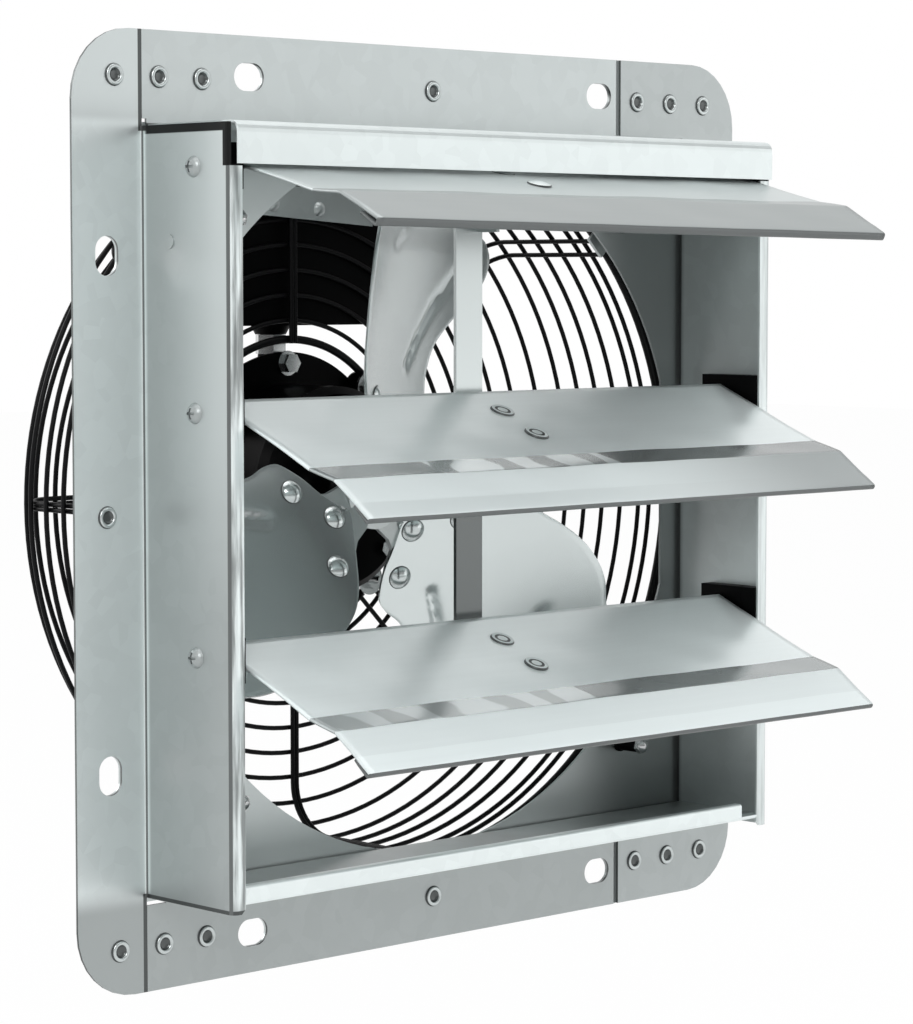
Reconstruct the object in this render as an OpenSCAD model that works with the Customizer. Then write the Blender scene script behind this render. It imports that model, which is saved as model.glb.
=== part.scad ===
// Wall exhaust fan with a three-blade gravity shutter, a fan, a shaded motor and a wire guard.
// Frame: +Z up, louvers towards -Y, origin at the centre of the mounting flange's front face.

/* [Housing] */
// Width and height of the square mounting flange
flange_w = 340; // [334:1:380]
// Corner radius of the flange
flange_r = 25; // [8:1:28]
// Distance from the flange's edge in to the edge of the plate with the air opening
plate_inset = 3; // [0:0.5:4]
// Thickness of the galvanised sheet
sheet_t = 1; // [0.8:0.1:1.2]
// Outer width of the box across its side walls
box_w = 279; // [276:1:284]
// Height of the roof's underside above the fan axis
roof_z = 136; // [135:0.5:138]
// Depth of the floor's underside below the fan axis
floor_z = 133; // [132:0.5:135]
// Depth of the side walls in front of the flange
box_d = 48; // [46:0.5:56]
// Width of the folded lip on the left wall
lip_left_w = 5.5; // [3:0.5:6]
// Width of the folded lip on the right wall
lip_right_w = 6.5; // [3:0.5:6.5]
// Depth of the hood in front of the flange
hood_d = 50.2; // [49:0.1:60]
// Drop of the hood's front lip below the roof's top
hood_drop = 14.8; // [8:0.1:15]
// Gap between the roof and each side wall
roof_gap = 1.1; // [0.3:0.1:2]
// Height of the lip on the floor's front edge
floor_lip_h = 6.7; // [5:0.1:7]
// Length of the hem folded back from the floor's lip
floor_hem = 3.4; // [2.5:0.1:5]
// Free gap in the floor's lip beside the right wall
floor_lip_cut = 14.5; // [8:0.5:20]
// Inner edge of the corner tabs, from the centre
tab_x = 103; // [98:1:106]
// Height above the centre at which the corner tabs start
tab_z = 140; // [139:0.5:142]
// Radius of the air opening
orifice_r = 135; // [128:0.5:136]
// Half width at which the opening is cut off straight
orifice_flat = 128.5; // [127:0.5:136]

/* [Wall fixing slots] */
// Width of a slot
slot_w = 10; // [5:0.5:11]
// Length of a slot
slot_l = 14; // [12:0.5:18]
// Distance of the top and bottom slots from the middle, along the flange
slot_h_x = 90.5; // [80:0.5:94]
// Distance of the top and bottom slots from the centre line, across the flange
slot_h_z = 155.3; // [154:0.1:157]
// Distance of the side slots from the centre line, across the flange
slot_v_x = 155.2; // [154:0.1:157]
// Distance of the side slots from the middle, along the flange
slot_v_z = 91; // [60:0.5:110]

/* [Louvers] */
// Length of a louver
louver_w = 262; // [250:1:262]
// Thickness of the louver sheet
louver_t = 1; // [0.8:0.1:1]
// Distance of the pivots in front of the flange
pivot_d = 28.5; // [26:0.5:30]
// Height of the top pivot above the fan axis
pivot_top_z = 121.5; // [118:0.5:122]
// Distance from one pivot to the next
pivot_pitch = 84.8; // [80:0.1:86]
// Tilt of the top louver in the photographed position
tilt_top = 13.3; // [12:0.1:16]
// Tilt of the middle and bottom louvers in the photographed position
tilt_low = 23.2; // [18:0.1:26]
// Height of the flat part over the pivot axis
louver_n = 4.2; // [3.8:0.1:5]
// Length of the flat part in front of the pivot
louver_flat = 52.8; // [48:0.1:58]
// Distance of the raised fold from the pivot
louver_fold_s = 65.9; // [60:0.1:70]
// Height of the raised fold over the pivot axis
louver_fold_n = 6.2; // [5:0.1:8]
// Distance of the front edge from the pivot
louver_tip_s = 87.2; // [80:0.1:88]
// Height of the front edge over the pivot axis
louver_tip_n = 1.6; // [0:0.1:3]
// Thickness of the folded hem at the front edge
hem_t = 2.2; // [2.1:0.1:3]
// Length of the folded hem
hem_l = 9; // [5:0.5:12]
// Radius of the pivot pin
pivot_r = 2; // [1.5:0.1:2.5]
// Running clearance on the radius of every pin
pin_clear = 0.05; // [0.02:0.01:0.1]

/* [Tie bar] */
// Width of the tie bar
bar_w = 13.5; // [11:0.5:16]
// Thickness of the tie bar
bar_t = 1.5; // [1:0.1:2]
// Distance of the bar's front face in front of the flange
bar_d = 20; // [18:0.5:21]
// Distance of the link pins behind the louver pivots
link_y = 4.5; // [3:0.5:6]
// Distance of the link pins below the louver pivots
link_z = 14; // [12:0.5:16]
// Thickness of a link bracket
bracket_t = 1.2; // [1:0.1:1.5]
// Half width of the bracket's plate to the left of the middle
bracket_left = 13; // [11:0.5:20]
// Distance of the bracket's plate from the pivot, nearest end
bracket_s0 = 10; // [8:0.5:14]
// Distance of the bracket's plate from the pivot, farthest end
bracket_s1 = 42; // [40:0.5:46]
// Distance of the first bracket rivet from the pivot
rivet_s0 = 16; // [15:0.5:20]
// Distance of the second bracket rivet from the pivot
rivet_s1 = 35.5; // [30:0.5:36]
// Distance of the bracket rivets to the left of the middle
rivet_x = 7; // [5:0.5:8]

/* [Fan] */
// Tip radius of the fan
fan_r = 122; // [115:0.5:126]
// Angle of the first blade's rivet line above the horizontal
blade_angle = 80; // [0:1:119]
// Distance of a blade's front face behind the flange, on its rivet line
blade_y = 31.2; // [29:0.1:34]
// Slope of the blade across its rivet line
blade_pitch = 0.5; // [0.4:0.01:0.5]
// Camber of the blade, per millimetre
blade_camber = 0.004; // [0.002:0.0005:0.004]
// Thickness of the blade sheet
blade_t = 1.2; // [1:0.1:1.6]
// Thickness of the spider
spider_t = 2; // [1.5:0.1:2.5]
// Radius from the axis to the inner rivet of a blade
fan_rivet_in = 24; // [23:0.1:25]
// Distance along the blade to the two outer rivets
fan_rivet_out = 35.5; // [33:0.1:36]
// Distance of the two outer rivets from the blade's rivet line
fan_rivet_side = 15; // [13:0.1:15.5]
// Radius of the motor shaft
shaft_r = 4; // [3:0.1:5]
// Outer radius of the hub boss
hub_r = 10; // [8:0.5:12]
// Length of the hub boss behind the spider
hub_l = 13; // [10:0.5:14]

/* [Motor] */
// Outer radius of the motor's shell
motor_r = 41; // [40:0.5:42]
// Wall thickness of the motor's shell
motor_wall = 2.5; // [2:0.1:3]
// Distance of the shell's front edge behind the flange
motor_y0 = 58; // [57:0.5:60]
// Distance of the shell's rear edge behind the flange
motor_y1 = 104; // [103:0.5:112]
// Depth of each end bell over the shell's edge
bell_h = 4; // [3.5:0.1:5]
// Outer radius of the bearings
bearing_r = 8; // [7.5:0.1:9]
// Width of a bearing
bearing_w = 6; // [5:0.1:6.5]
// Air gap between rotor and stator
air_gap = 0.5; // [0.3:0.1:0.8]
// Inner radius of the stator
stator_r = 24; // [22:0.5:25]
// Radius of the circle of the motor's through bolts
through_r = 33.8; // [33.5:0.1:34]

/* [Guard] */
// Distance of the guard's flat back behind the flange, to the rings' wire centres
guard_y = 83; // [82:0.5:84]
// Radius of the guard's side, to the rings' wire centres
guard_r = 140.7; // [140:0.1:142]
// Bend radius between the guard's back and side, at the rings' wire centres
guard_bend = 22.1; // [18:0.1:26]
// Diameter of the guard rings' wire
ring_d = 2.2; // [2:0.1:2.4]
// Distance from one ring to the next in the guard's back
ring_pitch = 10; // [9.8:0.1:10]
// Radius of the first thin ring in the back
ring_first = 66.5; // [66:0.5:68]
// Distance from one ring to the next over the bend and down the side, along the guard
side_pitch = 10.45; // [10.2:0.05:10.5]
// Place of the first of these rings, measured along the guard from its middle
side_first = 126.9; // [126:0.1:127.5]
// Distance of the last thin ring behind the flange
edge_ring_y = 18.6; // [17:0.1:19.5]
// Diameter of the radial wires
strut_d = 2; // [1.8:0.1:2.2]
// Distance between the two wires of an upright or level pair
strut_gap = 2.6; // [2.3:0.1:3]
// Distance between the two wires of a diagonal pair
wide_gap = 7.4; // [6:0.1:9]
// Radius of the thick inner ring
inner_ring_r = 59; // [58.5:0.1:60]
// Wire diameter of the thick inner ring
inner_ring_d = 3.2; // [3:0.1:3.4]
// Radius of the thick base ring
base_ring_r = 140.5; // [140:0.1:142]
// Wire diameter of the thick base ring
base_ring_d = 4; // [3.5:0.1:4.5]
// Distance of the base ring's centre behind the flange
base_ring_y = 9.5; // [8.5:0.1:10]
// Radius of the circle of the guard's fixing screws
guard_screw_r = 148; // [147:0.5:150]
// Radius of the guard's fixing screws
guard_screw = 2; // [1.5:0.1:2.2]
// Length of the spacer sleeve on each fixing screw
sleeve_l = 11; // [8:0.5:13]

/* [Motor mounting] */
// Outer radius of the mounting disc
disc_r = 54; // [53:0.5:55]
// Thickness of the mounting disc
disc_t = 1.6; // [1.2:0.1:2]
// Radius of the circle of the clamp bolts
clamp_r = 55; // [54.8:0.1:55.2]
// Radius of a clamp washer
clamp_washer_r = 6.5; // [6:0.1:7]
// Radius of the circle of the bolts that hold the motor on the disc
flange_bolt_r = 49.5; // [48:0.5:50]
// Radius of the motor's mounting flange
motor_flange_r = 53; // [52:0.5:53.5]

/* [Junction box] */
// Half width of the junction box
jbox_x = 52; // [44:1:56]
// Height of the box's underside above the fan axis
jbox_z0 = 64.5; // [64:0.5:68]
// Height of the box's top above the fan axis
jbox_z1 = 122; // [118:0.5:126]
// Depth of the box without its lid
jbox_d = 40; // [36:1:60]
// Wall thickness of the box
jbox_wall = 2.5; // [2:0.1:3]
// Thickness of the lid
lid_t = 2.5; // [2:0.1:4]
// Height of the strap's middle above the fan axis
strap_z = 113.2; // [112:0.1:113.5]
// Height of the strap
strap_h = 12.6; // [9:0.1:13]
// Half length of the strap
strap_x = 41; // [36:1:44]
// Tilt of the strap
strap_tilt = 3.8; // [0:0.1:5]
// Distance of the strap screws from the middle
strap_screw_x = 12; // [8:0.5:13]
// Distance of the strap screws below the strap's middle
strap_screw_z = 1.7; // [1.2:0.1:2.2]
// Distance of the conduit behind the flange
conduit_y = 95; // [95:0.1:96]

/* [Hidden] */
$fn = 48;
eps = 0.01;

galvanised = [0.72, 0.75, 0.75];
aluminium = [0.78, 0.8, 0.8];
steel = [0.7, 0.7, 0.7];
black = [0.06, 0.06, 0.06];

half_w = flange_w / 2;
wall_x = box_w / 2;
plate_y = 2 * sheet_t;
fit = 0.02;
touch = 0.05;
bend_r = 1.5;
flange_bend_r = 1;
rivet_hole_r = 2.45;
rivet_head_r = 4;
dome_rivet_r = 4.7;
rivet_row_z = 153.7;
rivet_row_x = [0, 112.4, 131.8, 151.5, -112.4, -131.8, -151.5];
rivet_side_x = 155.9;
joggle = 1.6;
joggle_r = sheet_t + 0.2;
pivot_z = [pivot_top_z, pivot_top_z - pivot_pitch, pivot_top_z - 2 * pivot_pitch];
tilts = [tilt_top, tilt_low, tilt_low];
bushing_in = 132.5 / 131 * louver_w / 2;

// Unit vector, left normal, and a vector turned by an angle
function unit(v) = v / norm(v);
function left(v) = [-v.y, v.x];
function turned(v, a) = [v.x * cos(a) - v.y * sin(a), v.x * sin(a) + v.y * cos(a)];
function cross2(a, b) = a.x * b.y - a.y * b.x;
function reversed(p) = [for (i = [len(p) - 1 : -1 : 0]) p[i]];

// One side of a bent sheet: a path, its bend radii and the distance to the left of the path
function bend_points(a, b, c, r, o, steps = 5) =
  let (u = unit(b - a), v = unit(c - b), s = sign(cross2(u, v)),
       angle = acos(max(-1, min(1, u * v))), start = b - u * r * tan(angle / 2),
       centre = start + s * r * left(u))
  [for (k = [0 : steps]) centre - s * (r - s * o) * turned(left(u), s * angle * k / steps)];
function sheet_side(p, r, o) = concat(
  [p[0] + o * left(unit(p[1] - p[0]))],
  [for (i = [1 : len(p) - 2]) each bend_points(p[i - 1], p[i], p[i + 1], r[i - 1], o)],
  [p[len(p) - 1] + o * left(unit(p[len(p) - 1] - p[len(p) - 2]))]);
function sheet_outline(p, r, o1, o2) = concat(sheet_side(p, r, o1), reversed(sheet_side(p, r, o2)));

// A dome from its top at -h to its rim, for turned heads
function dome(r, h, steps = 6) =
  let (big = (r * r + h * h) / (2 * h), a = asin(r / big))
  [for (k = [0 : steps]) [big * sin(a * k / steps), big - h - big * cos(a * k / steps)]];

module along_x(x0, x1) { translate([x0, 0, 0]) rotate([90, 0, 90]) linear_extrude(x1 - x0) children(); }
module along_y(y0, y1) { translate([0, y1, 0]) rotate([90, 0, 0]) linear_extrude(y1 - y0) children(); }
module around_y() { rotate([-90, 0, 0]) rotate_extrude() children(); }
module cyl_x(r, x0, x1) { translate([x0, 0, 0]) rotate([0, 90, 0]) cylinder(r = r, h = x1 - x0); }
module cyl_y(r, y0, y1) { translate([0, y1, 0]) rotate([90, 0, 0]) cylinder(r = r, h = y1 - y0); }
module hex_y(across, y0, y1) {
  translate([0, y1, 0]) rotate([90, 0, 0]) cylinder(d = across / cos(30), h = y1 - y0, $fn = 6);
}
module polar(r, a) { rotate([0, -a, 0]) translate([r, 0, 0]) rotate([0, a, 0]) children(); }
module four_corners() { for (a = [45 : 90 : 315]) rotate([0, -a, 0]) children(); }

// Flange sheet
module flange_outline(inset = 0) {
  inner = half_w - flange_r;
  corner = flange_r - inset;
  polygon([for (q = [0 : 3]) for (k = [0 : 8])
    inner * [sign(cos(45 + 90 * q)), sign(sin(45 + 90 * q))]
      + corner * [cos(90 * q + 90 * k / 8), sin(90 * q + 90 * k / 8)]]);
}
module flange_holes() {
  for (sx = [-1, 1]) for (sz = [-1, 1]) {
    translate([sx * slot_h_x, 0, sz * slot_h_z]) slot(0);
    translate([sx * slot_v_x, 0, sz * slot_v_z]) slot(90);
  }
  for (p = rivet_places()) translate([p.x, 0, p.y]) cyl_y(rivet_hole_r, -1, plate_y + 1);
}
module slot(turn) {
  run = (slot_l - slot_w) / 2;
  rotate([0, turn, 0]) {
    for (s = [-1, 1]) translate([s * run, 0, 0]) cyl_y(slot_w / 2, -1, plate_y + 1);
    translate([-run, -1, -slot_w / 2]) cube([2 * run, plate_y + 2, slot_w]);
  }
}
function rivet_places() = concat(
  [for (s = [-1, 1]) each [for (x = rivet_row_x) [x, s * rivet_row_z]]],
  [[-rivet_side_x, 0], [rivet_side_x, 0]]);

// Side panels: flange strip, side wall and front lip, with the strip's corner tabs
module wall_profile(lip_w) {
  polygon(sheet_outline(
    [[-half_w, 0], [-wall_x, 0], [-wall_x, -box_d], [-wall_x + lip_w, -box_d]],
    [flange_bend_r, bend_r + sheet_t], 0, sheet_t));
}
module side_wall(lip_w) {
  wall_bottom = floor_z + 3;
  wall_top = roof_z + 0.4;
  lip_top = roof_z - hood_drop + 0.5;
  corner = 1.2;
  difference() {
    translate([0, 0, -wall_bottom]) linear_extrude(wall_bottom + wall_top) wall_profile(lip_w);
    translate([-wall_x + sheet_t, -box_d - 1, lip_top]) cube([lip_w + 1, box_d, wall_top]);
    translate([-wall_x + lip_w, -box_d - 1, -wall_bottom])
      rotate([0, 45, 0]) cube([2 * corner, 4, 2 * corner], center = true);
    for (z = pivot_z) translate([0, -pivot_d, z]) cyl_x(pivot_r + pin_clear, -wall_x - 1, -wall_x + 2);
  }
}
module strip_end() {
  intersection() {
    along_y(-eps, plate_y + eps) flange_outline();
    children();
  }
}
module left_panel() {
  color(galvanised) difference() {
    union() {
      side_wall(lip_left_w);
      strip_end() union() {
        translate([-half_w, 0, -half_w]) cube([half_w - wall_x, sheet_t, flange_w]);
        for (s = [0, 1]) mirror([0, 0, s]) translate([0, 0, tab_z])
          linear_extrude(half_w - tab_z) polygon(sheet_outline(
            [[-half_w + 1, 0], [-wall_x - joggle, 0], [-wall_x, sheet_t], [-tab_x, sheet_t]],
            [joggle_r, joggle_r], 0, sheet_t));
      }
      translate([-wall_x - 0.5, -15, 96]) cyl_x(2.6, 0, 1);
    }
    flange_holes();
  }
}
module right_panel() {
  color(galvanised) difference() {
    union() {
      mirror([1, 0, 0]) side_wall(lip_right_w);
      strip_end() union() {
        translate([wall_x, 0, -half_w]) cube([half_w - wall_x, sheet_t, flange_w]);
        for (s = [0, 1]) mirror([0, 0, s])
          translate([tab_x, 0, tab_z]) cube([half_w - tab_x, sheet_t, half_w - tab_z]);
      }
    }
    flange_holes();
  }
}

// Top and bottom panels: strips between the side panels, joggled behind the right panel's tabs
module panel_strip(edge_z, root_x) {
  strip_x1 = wall_x + joggle;
  joggle_x = tab_x - 1;
  side_gap = 0.1;
  overlap = 1;
  translate([0, 0, tab_z - overlap]) linear_extrude(half_w - tab_z + overlap) polygon(sheet_outline(
    [[-wall_x + side_gap, 0], [joggle_x - joggle, 0], [joggle_x, sheet_t], [strip_x1, sheet_t]],
    [joggle_r, joggle_r], 0, sheet_t));
  translate([-root_x, 0, edge_z]) cube([2 * root_x, sheet_t, tab_z - edge_z]);
}
module top_panel() {
  root_x = wall_x - sheet_t - roof_gap;
  top = roof_z + sheet_t;
  color(galvanised) difference() {
    union() {
      panel_strip(roof_z + flange_bend_r + sheet_t, root_x);
      along_x(-root_x, root_x) polygon(sheet_outline(
        [[0, tab_z - 1], [0, top], [-hood_d, top], [-hood_d, top - hood_drop]],
        [flange_bend_r, 4], 0, sheet_t));
    }
    flange_holes();
    tab_clearance();
  }
}
module tab_clearance() {
  translate([tab_x - touch, -1, tab_z - touch]) cube([half_w, sheet_t + 1, half_w]);
}
module bottom_panel() {
  root_x = wall_x - sheet_t - touch;
  fold = floor_z - floor_lip_h;
  cut = 9;
  color(galvanised) difference() {
    union() {
      mirror([0, 0, 1]) panel_strip(floor_z + flange_bend_r, root_x);
      along_x(-root_x, root_x) polygon(sheet_outline(
        [[0, -tab_z + 1], [0, -floor_z], [-box_d - 0.1, -floor_z], [-box_d - 0.1, -fold],
         [-box_d - 0.1 + floor_hem, -fold]],
        [flange_bend_r, 1.2, 1.1], 0, -sheet_t));
    }
    flange_holes();
    mirror([0, 0, 1]) tab_clearance();
    translate([root_x - floor_lip_cut, -box_d - 1, -floor_z + sheet_t + 0.5])
      cube([floor_lip_cut + 1, floor_hem + 2, floor_lip_h + 1]);
    translate([-wall_x, -box_d - 1, -floor_z - 1])
      cube([lip_left_w + touch, sheet_t + 1.1, floor_lip_h + 2]);
    translate([wall_x - lip_right_w - touch, -box_d - 1, -floor_z - 1])
      cube([lip_right_w, sheet_t + 1.1, floor_lip_h + 2]);
    translate([-wall_x, -box_d - 1, -floor_z + 2])
      cube([lip_left_w + touch, floor_hem + 2, floor_lip_h + 1]);
    translate([-wall_x - eps, -1, 0]) along_y(0, 3)
      polygon([[0, -floor_z - 3], [cut, -floor_z - 3 - 3], [0, -floor_z - 6]]);
  }
}

// Plate with the air opening, notched under the corner tabs
module orifice_plate() {
  notch = 2.2;
  hole_w = half_w;
  color(galvanised) difference() {
    along_y(sheet_t, plate_y) flange_outline(plate_inset);
    intersection() {
      cyl_y(orifice_r, 0, plate_y + 1, $fn = 120);
      translate([-orifice_flat, 0, -hole_w]) cube([2 * orifice_flat, plate_y + 1, 2 * hole_w]);
    }
    flange_holes();
    for (sx = [0, 1]) for (sz = [0, 1]) mirror([sx, 0, 0]) mirror([0, 0, sz])
      translate([tab_x - joggle - 1 - notch, 0, tab_z - notch])
        cube([wall_x + 2 * joggle + notch - tab_x + joggle + 1 + notch, plate_y + 1, half_w]);
    four_corners() translate([guard_screw_r, 0, 0]) cyl_y(guard_screw + pin_clear, 0, plate_y + 1);
  }
}
module flange_rivets() {
  color(steel) for (p = rivet_places()) translate([p.x, 0, p.y]) around_y()
    polygon([[0, -0.2], [2.1, -0.2], [2.4, -1], [3.5, -1], [rivet_head_r, -0.6], [rivet_head_r, 0],
             [rivet_hole_r - touch, 0], [rivet_hole_r - touch, plate_y], [3.1, plate_y],
             [3.1, plate_y + 1.6], [0, plate_y + 1.6]]);
}

// Louver pivots
module each_pivot() {
  for (s = [0, 1]) mirror([s, 0, 0]) for (z = pivot_z) translate([0, -pivot_d, z]) children();
}
module pivot_bushings() {
  length = 21;
  height = 16;
  collar_r = 4.5;
  run_gap = 0.3;
  color(black) each_pivot() difference() {
    union() {
      translate([-wall_x + sheet_t, -length / 2, -height / 2])
        cube([wall_x - sheet_t - bushing_in, length, height]);
      cyl_x(collar_r, -bushing_in - 1, -louver_w / 2 - run_gap);
    }
    cyl_x(pivot_r + pin_clear, -wall_x, -louver_w / 2 + 1);
  }
}
module pivot_screws() {
  head_r = 3.75;
  head_h = 2.6;
  slot_d = 1.4;
  reach = 3.5;
  color(steel) each_pivot() difference() {
    union() {
      cyl_x(pivot_r, -wall_x, -louver_w / 2 + reach);
      translate([-wall_x, 0, 0]) rotate([0, 0, 90]) around_y()
        polygon(concat([[0, 0]], reversed([for (p = dome(head_r, head_h)) [p.x, -p.y]])));
    }
    for (a = [0, 90]) translate([-wall_x - head_h, 0, 0]) rotate([a, 0, 0])
      cube([2 * slot_d, 0.9, 4], center = true);
  }
}

// Louvers, in their own frame: pivot on the X axis, front edge towards -Y
module on_louver(i) { translate([0, -pivot_d, pivot_z[i]]) rotate([tilts[i], 0, 0]) children(); }
function louver_path() =
  let (fold = [-louver_fold_s, louver_fold_n], tip = [-louver_tip_s, louver_tip_n],
       u = unit(tip - fold), under = tip + hem_t * left(u))
  [[1.2, louver_n], [-louver_flat, louver_n], fold, tip, under, under - hem_l * u];
module louver(i) {
  half = louver_w / 2;
  ear_r = 5.5;
  color(aluminium) on_louver(i) difference() {
    union() {
      along_x(-half, half)
        polygon(sheet_outline(louver_path(), [8, 10, hem_t / 2, hem_t / 2], 0, louver_t));
      for (s = [0, 1]) mirror([s, 0, 0]) {
        cyl_x(ear_r, half - louver_t, half);
        along_x(half - louver_t, half)
          polygon([[-18, louver_n - 0.5], [1.2, louver_n - 0.5], [ear_r - 0.2, 1.5], [0, -ear_r + 0.2],
                   [-5, -2.4]]);
      }
    }
    cyl_x(pivot_r + pin_clear, -half - 1, -half + 2);
    cyl_x(pivot_r + pin_clear, half - 2, half + 1);
    for (s = [rivet_s0, rivet_s1]) translate([-rivet_x, -s, 0]) cylinder(r = 1.85, h = 20);
  }
}
module louver_top() { louver(0); }
module louver_middle() { louver(1); }
module louver_bottom() { louver(2); }

// Link brackets, riveted under the louvers, with the pins that carry the tie bar
ear_x0 = bar_w / 2 + 0.2;
ear_x1 = ear_x0 + bracket_t;
function link_local(t) = [link_y * cos(t) - link_z * sin(t), -link_y * sin(t) - link_z * cos(t)];
module link_bracket(i) {
  pin = link_local(tilts[i]);
  eye = 4.5;
  under = louver_n - louver_t;
  color(galvanised) on_louver(i) difference() {
    union() {
      translate([-bracket_left, -bracket_s1, under - bracket_t])
        cube([bracket_left + ear_x1, bracket_s1 - bracket_s0, bracket_t]);
      translate([0, pin.x, pin.y]) cyl_x(eye, ear_x0, ear_x1);
      along_x(ear_x0, ear_x1)
        polygon([[-bracket_s1 + 4, under], [-bracket_s0 + 2, under], [pin.x + eye - 0.3, pin.y + 1.3],
                 [pin.x - 3.1, pin.y - 3.1]]);
    }
    translate([0, pin.x, pin.y]) cyl_x(pivot_r + fit, 0, ear_x1 + 1);
    for (s = [rivet_s0, rivet_s1]) translate([-rivet_x, -s, 0]) cylinder(r = 1.85, h = 20);
  }
}
module link_bracket_top() { link_bracket(0); }
module link_bracket_middle() { link_bracket(1); }
module link_bracket_bottom() { link_bracket(2); }
module bracket_rivets(i) {
  top = louver_n;
  under = louver_n - louver_t - bracket_t;
  color(steel) on_louver(i) for (s = [rivet_s0, rivet_s1]) translate([-rivet_x, -s, 0])
    rotate_extrude() polygon(concat(
      [[0, under - 1], [3, under - 1], [3, under], [1.8, under], [1.8, top]],
      reversed([for (p = dome(dome_rivet_r, 1.5)) [p.x, top - p.y]])));
}
module bracket_rivets_top() { bracket_rivets(0); }
module bracket_rivets_middle() { bracket_rivets(1); }
module bracket_rivets_bottom() { bracket_rivets(2); }
module link_pin(i) {
  pin = link_local(tilts[i]);
  head = 3.4;
  head_in = 2.9;
  color(steel) on_louver(i) translate([0, pin.x, pin.y]) {
    cyl_x(pivot_r, bar_w / 2 - bar_t - 2, ear_x1 + 0.5);
    cyl_x(head, ear_x1, ear_x1 + 1.5);
    cyl_x(head_in, bar_w / 2 - bar_t - 2, bar_w / 2 - bar_t - 0.3);
  }
}
module link_pin_top() { link_pin(0); }
module link_pin_middle() { link_pin(1); }
module link_pin_bottom() { link_pin(2); }
module tie_bar() {
  tab_h = 7;
  tab_d = 5.2;
  over = 8.5;
  pin_z = [for (z = pivot_z) z - link_z];
  pin_y = -pivot_d + link_y;
  // The top pin climbs in a slot, because the top louver turns further than the others
  climb = 2.4;
  slot_r = pivot_r + 0.65;
  color(aluminium) difference() {
    union() {
      translate([-bar_w / 2, -bar_d, pin_z[2] - over])
        cube([bar_w, bar_t, pin_z[0] - pin_z[2] + 2 * over]);
      for (z = pin_z) translate([bar_w / 2 - bar_t, pin_y - tab_d, z - tab_h])
        cube([bar_t, tab_d - pin_y - bar_d + bar_t, 2 * tab_h]);
    }
    translate([0, pin_y, pin_z[1]]) cyl_x(pivot_r + pin_clear, 0, bar_w);
    translate([0, pin_y, pin_z[2]]) cyl_x(pivot_r + 0.2, 0, bar_w);
    for (dz = [0, climb]) translate([0, pin_y + 0.43, pin_z[0] + dz]) cyl_x(slot_r, 0, bar_w);
    translate([0, pin_y + 0.43 - slot_r, pin_z[0]]) cube([bar_w, 2 * slot_r, climb]);
  }
}

// Fan blades, in a frame with X along the rivet line and Z across it
function blade_face(t) = blade_y - blade_pitch * t - blade_camber * t * t;
module on_blade(i) { rotate([0, -blade_angle - 120 * i, 0]) children(); }
module at_rivet(p) {
  translate([p.x, blade_face(p.y), p.y])
    rotate([atan(blade_pitch + 2 * blade_camber * p.y), 0, 0]) children();
}
fan_rivets = [[fan_rivet_in, 0], [fan_rivet_out, fan_rivet_side], [fan_rivet_out, -fan_rivet_side]];
facet = 6.9;
module cambered(x0, x1, k0, k1, y0, y1) {
  side = [for (k = [k0 : k1]) facet * k - 66];
  along_x(x0, x1) polygon(concat(
    [for (t = side) [blade_face(t) + y0, t]], reversed([for (t = side) [blade_face(t) + y1, t]])));
}
module blade_outline() {
  trail = 26.7;
  lead = 14.2;
  tip = concat(
    [for (a = [-trail : 3.4 : lead]) fan_r * [cos(a), sin(a)]]);
  polygon(concat(tip,
    [[112, 32.5], [105, 36], [96, 38.5], [84, 39.5], [72, 38.5], [57, 35.5], [48, 33], [40, 29.5],
     [33, 24], [27, 17], [21, 9], [17.5, 3.5], [16, 0.5], [18, -0.5], [20.6, -4.4], [23.1, -8.1],
     [25.3, -11.9], [27, -15.5], [29.3, -19.2], [33.2, -24], [36.6, -26.8], [42.6, -27.7],
     [50.9, -27], [62, -30], [72, -38],
     [82, -48], [90, -55], [97, -58.2], [104, -58.2]]));
}
module blade(i) {
  vertical_t = blade_t * 1.12;
  color(aluminium) on_blade(i) difference() {
    intersection() {
      cambered(10, fan_r + 2, 0, 16, 0, vertical_t);
      along_y(-10, 70) blade_outline();
    }
    for (p = fan_rivets) at_rivet(p) cyl_y(2.05, -5, 6);
  }
}
module blade_1() { blade(0); }
module blade_2() { blade(1); }
module blade_3() { blade(2); }
module blade_rivets() {
  seat = 0.1;
  shank = blade_t + spider_t + 0.25;
  color(steel) for (i = [0 : 2]) on_blade(i) for (p = fan_rivets) at_rivet(p) around_y()
    polygon(concat(
      reversed([for (q = dome(dome_rivet_r, 2.2)) [q.x, q.y - seat]]),
      [[0, shank + 1.4], [3, shank + 1.4], [3, shank], [2, shank], [2, -seat]]));
}
spider_y0 = blade_t * 1.12 + touch;
spider_y1 = spider_y0 + spider_t * 1.12;
module spider() {
  core_r = 14;
  nose_r = 7;
  color(galvanised) difference() {
    union() {
      cyl_y(core_r, blade_y + spider_y0 - 0.3, blade_y + spider_y1 + 0.4);
      for (i = [0 : 2]) on_blade(i) intersection() {
        cambered(8, 46, 6, 13, spider_y0, spider_y1);
        along_y(0, 70) polygon([[10.5, -7.5], [13, -8], [20, -7.8], [25, -9.4], [29, -15.5], [33, -20],
          [39, -20.5], [42, -17], [42, 17], [39, 20.5], [31, 20.5], [26, 15.8], [20, 11.4],
          [13, 9.2], [10.5, 7.5]]);
      }
    }
    cyl_y(nose_r + fit, 0, 70);
    for (i = [0 : 2]) on_blade(i) for (p = fan_rivets) at_rivet(p) cyl_y(2.05, -5, 8);
  }
}
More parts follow.
